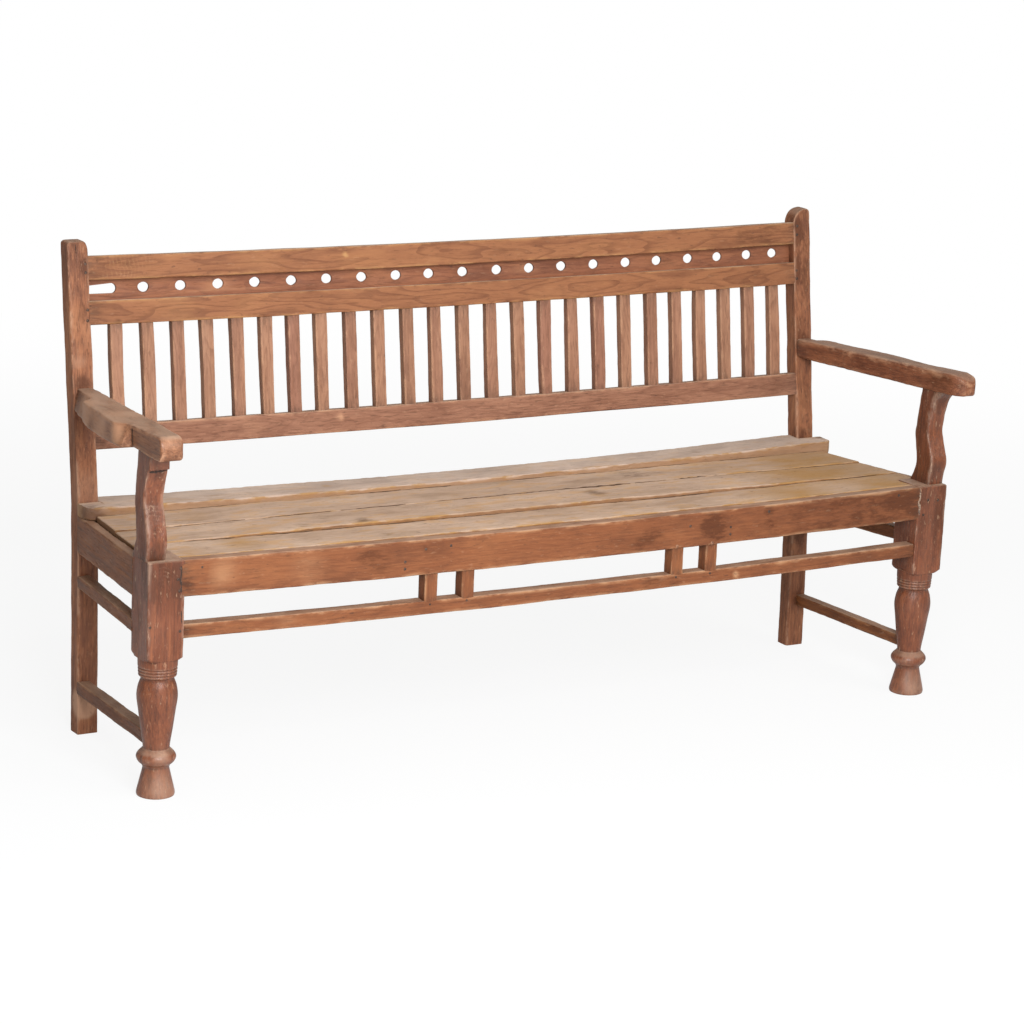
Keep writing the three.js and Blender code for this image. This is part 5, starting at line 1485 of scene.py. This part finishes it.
# %% Helpers for finishes
def between(wire, low, high):
    """0 at low, 1 at high, smooth between them and flat beyond."""
    settings = {"interpolation_type": "SMOOTHSTEP"}
    return Wire.node("ShaderNodeMapRange", settings, {"Value": wire, "From Min": low, "From Max": high})


def blend(first, second, share):
    """A colour between two colours."""
    return Wire.node("ShaderNodeMix", {"data_type": "RGBA"}, {0: share, 6: first, 7: second}, out=2)


def vector_maths(operation, first, second):
    """A Vector Math node."""
    return Wire.node("ShaderNodeVectorMath", {"operation": operation}, {0: first, 1: second})


def measure(vector, axis):
    """One of a vector's three measures."""
    return Wire.node("ShaderNodeSeparateXYZ", (), {0: vector}, out=axis)


def remembered(mark, out="Fac"):
    """A value that the points remember."""
    return Wire.node("ShaderNodeAttribute", {"attribute_name": mark}, out=out)


def cloud(vector, detail=4.0, rough=0.55, out=0):
    """Noise around 0.5."""
    sockets = {"Vector": vector, "Scale": 1.0, "Detail": detail, "Roughness": rough}
    return Wire.node("ShaderNodeTexNoise", (), sockets, out=out)


def linear(code):
    """A colour written as on a paint card, such as 9a6a4c, for a shader."""
    values = [int(code[i : i + 2], 16) / 255 for i in (0, 2, 4)]
    return tuple(v / 12.92 if v <= 0.04045 else ((v + 0.055) / 1.055) ** 2.4 for v in values) + (1.0,)


def new_finish(name):
    """A new material and the sockets of its shader. Wires are made in it from now on."""
    finish = bpy.data.materials.new(name)
    finish.use_nodes = True
    Wire.tree = finish.node_tree
    return finish, next(node for node in Wire.tree.nodes if node.type == "BSDF_PRINCIPLED").inputs


def bumped(height, strength, distance, inputs):
    """Small relief that changes only how light falls."""
    sockets = {"Height": height, "Strength": strength, "Distance": distance}
    Wire.node("ShaderNodeBump", (), sockets).into(inputs["Normal"])


print("a paint-card brown in linear light:", [round(v, 3) for v in linear("9a6a4c")])

# %% [markdown]
# ## Old wood
# One recipe serves every piece, with its own colours and amounts:
# - growth rings, cut by the plank's face into lines and arches;
# - fibres, which are noise stretched along the grain;
# - slow patches, where finish has worn thin or dirt has settled;
# - rubbed edges, dark joints, stains with the painted light and shade kept among them, tool marks, and pale
#   dust on whatever faces up.
# The grain values on the points say which way the wood runs, so nothing here needs unwrapping.
# A ring texture of scale 1 repeats every 0.314 metres, so 314 divided by the wanted gap in
# millimetres is its scale.

# %% Grain, rings and tool marks
RING_SCALE = 314
RING_SWING = (0.075, 0.075, 0)
RING_STRETCH = (1, 1, 0.02)
BURIED_LOG = 0.05


def grain_of(loose):
    """Where each point lies in its plank. A loose piece has kept its packed mesh, so it is asked
    for its own place, with the grain along the depth of the bench."""
    if not loose:
        return remembered("grain", "Vector")
    place = Wire.node("ShaderNodeTexCoord", out="Object")
    log = {"X": measure(place, "X"), "Y": measure(place, "Z") + BURIED_LOG, "Z": measure(place, "Y")}
    return Wire.node("ShaderNodeCombineXYZ", (), log, out="Vector")


def stretched(grain, across, along, shift=0.0):
    """Grain measures scaled for a texture, finer across than along."""
    moved = vector_maths("MULTIPLY", grain, (across, across, along))
    return vector_maths("ADD", moved, (shift, shift * 0.7, shift * 1.9))


def growth_rings(grain, gap, shift):
    """The dark late wood at the end of each year, with rings about gap millimetres apart."""
    swing = cloud(stretched(grain, 16, 2.6, shift), detail=2, out="Color")
    swing = vector_maths("MULTIPLY", vector_maths("SUBTRACT", swing, (0.5, 0.5, 0.5)), RING_SWING)
    sockets = {
        "Vector": vector_maths("MULTIPLY", vector_maths("ADD", grain, swing), RING_STRETCH),
        "Scale": RING_SCALE / gap, "Distortion": 0.5,
        "Detail": 3.0, "Detail Scale": 3.0, "Detail Roughness": 0.55,
    }
    settings = {"wave_type": "RINGS", "rings_direction": "Z", "wave_profile": "SAW"}
    ring = Wire.node("ShaderNodeTexWave", settings, sockets, out="Fac")
    return between(ring, 0.5, 0.95) * between(ring, 1.0, 0.97)


def saw_strokes(grain, smear, fleck):
    """Curved strokes of saw and plane, only where a piece has tool marks."""
    across, along = measure(grain, "X"), measure(grain, "Z")
    sweep = along * 760 + across * across * 16000 + across * 180 + 16 * smear
    stroke = Wire.node("ShaderNodeMath", {"operation": "SINE"}, {0: sweep})
    return between(stroke, 0.1, 1.0) * between(remembered("cut") + 1.2 * (fleck - 0.5), 0.3, 1.0)


print("rings 5 mm apart have a scale of", RING_SCALE / 5)

# %% [markdown]
# The recipe itself is a pile of thin layers: the bare wood first, then pores, what time has done
# to it, and dust last. Every layer is one blend with a mask, so each can be read, turned down or
# taken out alone. Roughness and bump come from the same masks, so that colour, shine and relief
# agree.

# %% The wood recipe
PORE_TONE = "4a3025"
JOINT_TONE = "3a2a22"
DUST_TONE = "b69a85"
FLECK_TONE = "cba685"
SPECK_TONE = "3f2c24"
GOLDEN_TONE = "c6985e"
WOOD_RELIEF = 0.0012
COAT_ROUGHNESS = 0.3


def wood(
    name, body, light, dark, worn, rings=0.5, ring_gap=9, streaks=1.0, pores=0.3, dust=0.35,
    patches=0.6, gloss=0.5, rub=0.6, flecks=0.3, sides=0.0, relief=0.5, sheen=0.3, coat=0.0,
    shift=0.0, loose=False, side_tone="4a3327", golden=0.0, stain_and_shade_tone="4a2613",
):
    """A finish for one group of pieces. The colours are paint-card codes."""
    finish, inputs = new_finish(name)
    body, light, dark, worn, side_tone, stain_and_shade_tone = (
        linear(code) for code in (body, light, dark, worn, side_tone, stain_and_shade_tone)
    )
    grain = grain_of(loose)
    joint, stain_and_painted_light = remembered("joint"), remembered("stain_and_painted_light")
    facing_up = measure(Wire.node("ShaderNodeNewGeometry", out="Normal"), "Z")
    late = growth_rings(grain, ring_gap, shift)
    streak = cloud(stretched(grain, 85, 2.4, shift + 6), detail=3)
    fibre = cloud(stretched(grain, 240, 8, shift + 2), detail=4, rough=0.6)
    fine = cloud(stretched(grain, 900, 26, shift + 4), detail=2)
    dash = cloud(stretched(grain, 290, 34, shift + 3), detail=2)
    patch = cloud(stretched(grain, 14, 4.5, shift + 9), detail=4, rough=0.6)
    smear = cloud(stretched(grain, 36, 14, shift + 15), detail=5, rough=0.65)
    fleck = cloud(stretched(grain, 150, 50, shift + 12), detail=4, rough=0.65)
    tone = streaks * (0.8 * (streak - 0.5) + 0.9 * (fibre - 0.5)) + 0.4 * (fine - 0.5)
    pore = between(dash, 0.42, 0.34)
    broken = 0.25 + 1.4 * between(smear + 0.5 * (fleck - 0.5), 0.3, 0.7)
    sawn = saw_strokes(grain, smear, fleck)
    rubbed = remembered("edge") * between(smear + 0.5 * (fleck - 0.5), 0.4, 0.62) * rub
    dusty = between(facing_up, 0.5, 0.95) * (0.55 + 0.45 * between(smear, 0.35, 0.6)) * dust
    layers = [
        (light, between(tone, -0.02, 0.36)),
        (dark, between(tone, 0.02, -0.36)),
        (dark, late * rings),
        (light, between(patch, 0.5, 0.68) * patches),
        (dark, between(patch, 0.5, 0.32) * patches),
        (dark, between(smear, 0.5, 0.32) * patches * 0.55),
        (linear(PORE_TONE), pore * pores),
        (light, between(dash, 0.59, 0.67) * pores),
        (linear(GOLDEN_TONE), between(smear + 0.3 * (patch - 0.5), 0.5, 0.64) * golden),
        # Dark spots take the stain tone and pale ones the worn tone; some dark ones are painted shade and
        # some pale ones painted light.
        (stain_and_shade_tone, between(stain_and_painted_light * broken, 0.08, 1.0) * 0.75),
        (worn, between(-1 * stain_and_painted_light * (0.4 + 1.2 * smear), 0.1, 0.9) * 0.85),
        (worn, sawn * 0.3),
        (worn, rubbed),
        (linear(JOINT_TONE), joint * between(fleck, 0.3, 0.7) * 0.7),
        (linear(DUST_TONE), dusty),
        (linear(FLECK_TONE), between(fleck, 0.6, 0.7) * flecks),
        (linear(SPECK_TONE), between(fleck, 0.37, 0.3) * 0.45),
    ]
    if sides:
        side = blend(side_tone, stain_and_shade_tone, between(stain_and_painted_light, 0.2, 1.0) * 0.8)
        layers.append((side, between(facing_up, 0.97, 0.4) * sides))
    colour = body
    for layer, mask in layers:
        colour = blend(colour, layer, mask)
    colour.into(inputs["Base Color"])
    roughness = 0.8 - 0.42 * gloss + 0.25 * (fibre - 0.5) + 0.3 * (smear - 0.5) + 0.1 * pore
    roughness.into(inputs["Roughness"])
    height = 0.7 * fibre + 0.5 * streak + 0.3 * fine + 0.4 * smear - 0.5 * pore - 0.25 * late + 0.3 * sawn
    bumped(height, relief, WOOD_RELIEF, inputs)
    inputs["Specular IOR Level"].default_value = sheen
    inputs["Coat Roughness"].default_value = COAT_ROUGHNESS
    (coat * between(patch, 0.35, 0.6)).into(inputs["Coat Weight"])
    return finish


print("wood recipe ready, with dust of", DUST_TONE)

# %% [markdown]
# ## Finishes
# The bench was pieced together from woods of one kind that have weathered apart: tan where
# people sit, warm brown on the rails, redder on the apron, and dark on the legs and posts. Each
# finish is listed under the first letters of the pieces that wear it. The first that fits is
# taken, so the rear seat board comes before the others, and pieces that nothing else fits, such
# as the stretchers at the sides, get the frame's wood from the end of the list.

# %% Finishes of the big pieces
frame_finish = wood(
    "frame_wood", "744324", "8a552f", "4f2d1a", "a37752", rings=0.3, ring_gap=5, pores=0.35,
    dust=0.6, gloss=0.7, flecks=0.15, patches=0.5, sheen=0.22, coat=0.05,
)
leg_finish = wood(
    "leg_wood", "723f28", "8a5234", "4a291c", "ae907c", rings=0.25, ring_gap=5, pores=0.3,
    dust=0.8, gloss=0.9, flecks=0.28, relief=0.6, patches=0.45, sheen=0.3, coat=0.28, rub=0.45, shift=1.0,
)
left_arm_finish = wood(
    "arm_wood", "85573c", "a17355", "553526", "b48668", rings=0.35, ring_gap=5, pores=0.25,
    dust=0.6, gloss=0.75, flecks=0.1, patches=0.5, sheen=0.3, coat=0.15, relief=0.35, shift=1.5,
)
right_arm_finish = wood(
    "right_arm_wood", "76462f", "8f5b3f", "4d2c20", "ab7e60", rings=0.35, ring_gap=5, pores=0.35,
    dust=0.5, gloss=0.7, flecks=0.2, patches=0.6, sheen=0.25, coat=0.1, shift=1.7,
)
post_finish = wood(
    "post_wood", "87553a", "a06c4b", "5d3828", "b28a70", rings=0.25, ring_gap=6, pores=0.4,
    dust=0.5, gloss=0.5, flecks=0.15, relief=0.6, shift=2.0,
)
rail_finish = wood(
    "rail_wood", "8c5b3c", "9d6c46", "6b4029", "b08456", rings=0.65, ring_gap=8, pores=0.2,
    dust=0.8, gloss=0.5, patches=0.4, streaks=0.4, flecks=0.08, shift=4.0,
)
low_rail_finish = wood(
    "low_rail_wood", "895f4a", "a1745c", "683f2e", "b5886a", rings=0.35, ring_gap=5, pores=0.35,
    dust=0.6, flecks=0.15, streaks=0.6, relief=0.6, patches=0.4, shift=5.0,
)
panel_finish = wood(
    "panel_wood", "85533a", "996546", "5e3728", "a97857", rings=0.4, ring_gap=5, pores=0.2,
    dust=0.2, flecks=0.1, patches=0.5, streaks=0.6, shift=6.0,
)
apron_finish = wood(
    "apron_wood", "7b492d", "915c3a", "5a3421", "b88d69", rings=0.25, ring_gap=6, pores=0.25,
    dust=0.6, gloss=0.5, patches=0.5, streaks=0.6, flecks=0.1, relief=0.4, sheen=0.22, shift=8.0,
)
SEAT_HABITS = {
    "rings": 0.25, "ring_gap": 10, "pores": 0.15, "dust": 0.0, "patches": 0.7, "gloss": 0.3,
    "streaks": 0.5, "flecks": 0.05, "sides": 0.85, "sheen": 0.2,
}
seat_finish = wood(
    "seat_wood", "c2a894", "d0b7a2", "a58b75", "ab8350", rub=0.95, shift=10.0,
    side_tone="7a5332", golden=0.4, stain_and_shade_tone="54402f", **SEAT_HABITS,
)
rear_board_finish = wood(
    "rear_board_wood", "cab5a6", "d7c1b2", "ac978a", "ab8350", rub=0.9, shift=11.0,
    side_tone="8f6a49", golden=0.2, stain_and_shade_tone="5f4030", **SEAT_HABITS,
)
HIDDEN_TONES = ("7a5a42", "8d6b4e", "5d4332", "8d6b4e")
hidden_finish = wood("hidden_wood", *HIDDEN_TONES, gloss=0.1, dust=0.3, shift=12.0)
loose_finish = wood("hidden_loose_wood", *HIDDEN_TONES, gloss=0.1, dust=0.3, shift=13.0, loose=True)
PIECE_FINISHES = (
    ("seat_board_rear", rear_board_finish), ("seat_board", seat_finish), ("front_leg", leg_finish),
    ("arm_left", left_arm_finish), ("arm_right", right_arm_finish), ("back_post", post_finish),
    ("top_rail", rail_finish), ("mid_rail", rail_finish), ("lower_back", low_rail_finish),
    ("perforated", panel_finish), ("front_apron", apron_finish), ("front_stretcher", apron_finish),
    ("short_", apron_finish), ("rear_apron", hidden_finish), ("seat_ledger", loose_finish),
    ("cross_bearer", loose_finish), ("", frame_finish),
)
print("finishes of big pieces:", len({finish.name for start, finish in PIECE_FINISHES}))

# %% [markdown]
# The slats came out of four boards, a little lighter or redder. Which slat came from which board
# is a plain list, in the order that they stand.

# %% Finishes of the slats
SLAT_TONES = (
    ("926852", "a3785f"), ("956b53", "a67c62"), ("966d55", "a87e65"), ("8e624e", "9f725e"),
)
SLAT_ORDER = (0, 1, 0, 2, 0, 1, 3, 1, 0, 1, 2, 0, 2, 0, 1, 3, 0, 3, 1, 0, 0, 1, 2, 0, 1)
slat_finishes = [
    wood(
        f"slat_wood_{number}", body, light, "6b4634", "b58a6c", rings=0.35, ring_gap=5, pores=0.25,
        dust=0.3, patches=0.45, streaks=0.7, flecks=0.15, shift=14.0 + number,
    )
    for number, (body, light) in enumerate(SLAT_TONES)
]
print("slats from each board:", [SLAT_ORDER.count(number) for number in range(len(SLAT_TONES))])

# %% [markdown]
# Nails, pegs, filler and dirt are too small for grain. Two colours mixed by fine noise are enough,
# and the object's own coordinates place the noise.

# %% Finishes of the small marks
SPECK_SCALE = (420, 420, 420)
BROAD_SCALE = (90, 90, 90)
SPECK_RELIEF = 0.0006


def speckled(name, first, second, rough, metal=0.0):
    """A finish of two colours mixed by fine noise."""
    finish, inputs = new_finish(name)
    place = Wire.node("ShaderNodeTexCoord", out="Object")
    speck = cloud(vector_maths("MULTIPLY", place, SPECK_SCALE), detail=4, rough=0.7)
    broad = cloud(vector_maths("MULTIPLY", place, BROAD_SCALE), detail=3)
    mix = between(speck + 0.5 * (broad - 0.5), 0.38, 0.62)
    blend(linear(first), linear(second), mix).into(inputs["Base Color"])
    (rough + 0.4 * (speck - 0.5)).into(inputs["Roughness"])
    bumped(speck, 0.5, SPECK_RELIEF, inputs)
    inputs["Metallic"].default_value = metal
    return finish


iron = speckled("old_iron", "33241d", "5a4336", 0.6, 0.3)
filler = speckled("pale_filler", "9c8470", "43302a", 0.85)
peg_wood = speckled("peg_end_grain", "96694a", "6b4936", 0.7)
# This dark finish serves the open cracks and the painted shadow line under the left lip.
crack_and_shadow_dark = speckled("open_crack_and_painted_shadow", "2c1f19", "3f2d24", 0.9)
seam_dark = speckled("seam_dirt", "3c291d", "6b4f38", 0.9)
MARK_FINISHES = {
    "seam_dirt": seam_dark, "arm_crack": crack_and_shadow_dark, "front_cracks_and_lip_shadow": crack_and_shadow_dark,
    "back_cracks": crack_and_shadow_dark, "front_filler": filler, "pale_pegs": peg_wood,
}
print("finishes of small marks:", len(MARK_FINISHES), "and iron for the nails")

# %% [markdown]
# The ledgers and bearers under the seat keep their packed meshes, as nobody sees them. They get
# a finish all the same, on the packed node itself.


# %% Give every piece its finish
def finish_for(node):
    """The finish of the piece that stands for a packed node."""
    if node.startswith("slat_"):
        return slat_finishes[SLAT_ORDER[int(node[-2:]) - 1]]
    return next(finish for start, finish in PIECE_FINISHES if node.startswith(start))


for mark, piece in small_marks.items():
    piece.data.materials.append(MARK_FINISHES.get(mark, iron))
for node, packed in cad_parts.items():
    target = made.get(node, packed)
    target.data.materials.clear()
    target.data.materials.append(finish_for(node))
print("dressed:", len(made), "kept as packed:", sorted(set(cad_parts) - set(made)))

# %% [markdown]
# ## Floor, light and camera
# The floor is plain and pale. To the camera it is part white light and part painted surface, so
# it stays bright yet keeps the bench's soft shadow. Further away it is all white, where no shadow
# falls, so that no horizon shows.

# %% Floor
FLOOR_HALF = 60
FLOOR_PAINT = (0.82, 0.85, 0.88, 1.0)
FLOOR_GLOW = 0.88
GLOW_START, GLOW_STOP = 1.6, 4.5
WHITE = (1.0, 1.0, 1.0, 1.0)


def seen_by_camera():
    """1 for what the camera sees directly, 0 for light on its way round the scene."""
    return Wire.node("ShaderNodeLightPath", out="Is Camera Ray")


floor_mesh = bpy.data.meshes.new("floor")
corners = [(x * FLOOR_HALF, y * FLOOR_HALF, 0) for x, y in ((-1, -1), (1, -1), (1, 1), (-1, 1))]
floor_mesh.from_pydata(corners, [], [(0, 1, 2, 3)])
floor = linked("floor", floor_mesh)
paint = bpy.data.materials.new("pale_floor")
paint.use_nodes = True
Wire.tree = paint.node_tree
output = next(node for node in Wire.tree.nodes if node.type == "OUTPUT_MATERIAL")
diffuse = Wire.node("ShaderNodeBsdfDiffuse", (), {"Color": FLOOR_PAINT})
glow = Wire.node("ShaderNodeEmission", (), {"Color": WHITE, "Strength": 1.0})
spot = Wire.node("ShaderNodeTexCoord", out="Object")
away = Wire.node("ShaderNodeVectorMath", {"operation": "LENGTH"}, {0: spot}, out="Value")
share = FLOOR_GLOW + (1 - FLOOR_GLOW) * between(away, GLOW_START, GLOW_STOP)
floor_look = Wire.node("ShaderNodeMixShader", (), {0: seen_by_camera() * share, 1: diffuse, 2: glow})
floor_look.into(output.inputs["Surface"])
floor_mesh.materials.append(paint)
print("floor half width:", FLOOR_HALF, "m")

# %% [markdown]
# The sky is an even light from all round, weaker than white and faintly warm, but plain white to
# the camera. One large lamp hangs high in front of the bench on the left and throws the soft
# shadow. A second, wider and further off, fills the sides that it leaves dark.

# %% Light
SKY = 0.43
SKY_TINT = (1.0, 0.965, 0.91, 1.0)
LAMP_AIM = (0, 0, 0.5)
LAMPS = {
    "key": ((-1.1, -3.1, 2.1), 1.7, 150, (1.0, 1.0, 1.0)),
    "fill": ((2.4, -4.0, 3.8), 3.5, 90, (1.0, 0.92, 0.83)),
}
world = bpy.data.worlds.new("sky")
bpy.context.scene.world = world
world.use_nodes = True
Wire.tree = world.node_tree
background = next(node for node in Wire.tree.nodes if node.type == "BACKGROUND")
seen = seen_by_camera()
blend(SKY_TINT, WHITE, seen).into(background.inputs["Color"])
(SKY + (1 - SKY) * seen).into(background.inputs["Strength"])


def lamp(name, place, size, power, tint):
    """A square soft lamp that points at the middle of the bench."""
    light = bpy.data.lights.new(name, "AREA")
    light.size = size
    light.energy = power
    light.color = tint
    holder = linked(name, light)
    holder.location = place
    holder.rotation_mode = "QUATERNION"
    holder.rotation_quaternion = (Vector(LAMP_AIM) - Vector(place)).to_track_quat("-Z", "Y")


for name, (place, size, power, tint) in LAMPS.items():
    lamp(name, place, size, power, tint)
print("lamps:", list(LAMPS))

# %% [markdown]
# The camera stands where the photographer did. Its place, its turn and its lens were fitted to
# the straight edges of the bench, and a long lens from well back keeps the perspective gentle.

# %% Camera
CAMERA_PLACE = in_scene(-3322, -5369, 2048)
YAW, PITCH, ROLL = math.radians(30.57), math.radians(13.92), math.radians(2.59)
FOCAL_PIXELS = 3241
IMAGE_PIXELS = 1024
SENSOR = 36
FARTHEST = 200
ahead = Vector((math.sin(YAW) * math.cos(PITCH), math.cos(YAW) * math.cos(PITCH), -math.sin(PITCH)))
level = Vector((math.cos(YAW), -math.sin(YAW), 0))
upward = level.cross(ahead)
across = math.cos(ROLL) * level + math.sin(ROLL) * upward
above = -math.sin(ROLL) * level + math.cos(ROLL) * upward
lens = bpy.data.cameras.new("camera")
lens.sensor_width = SENSOR
lens.lens = SENSOR * FOCAL_PIXELS / IMAGE_PIXELS
lens.clip_end = FARTHEST
camera = linked("camera", lens)
turn = Matrix((across, above, -ahead)).transposed().to_4x4()
camera.matrix_world = Matrix.Translation(Vector(CAMERA_PLACE.tolist())) @ turn
bpy.context.scene.camera = camera
bpy.context.scene.view_settings.view_transform = "Standard"
print("lens:", round(lens.lens, 2), "mm")

# %% [markdown]
# ## Last update
# The view layer is updated once more. The dressed bench has to stay inside the packed
# one, apart from a little.

# %% Update the view layer
bpy.context.view_layer.update()
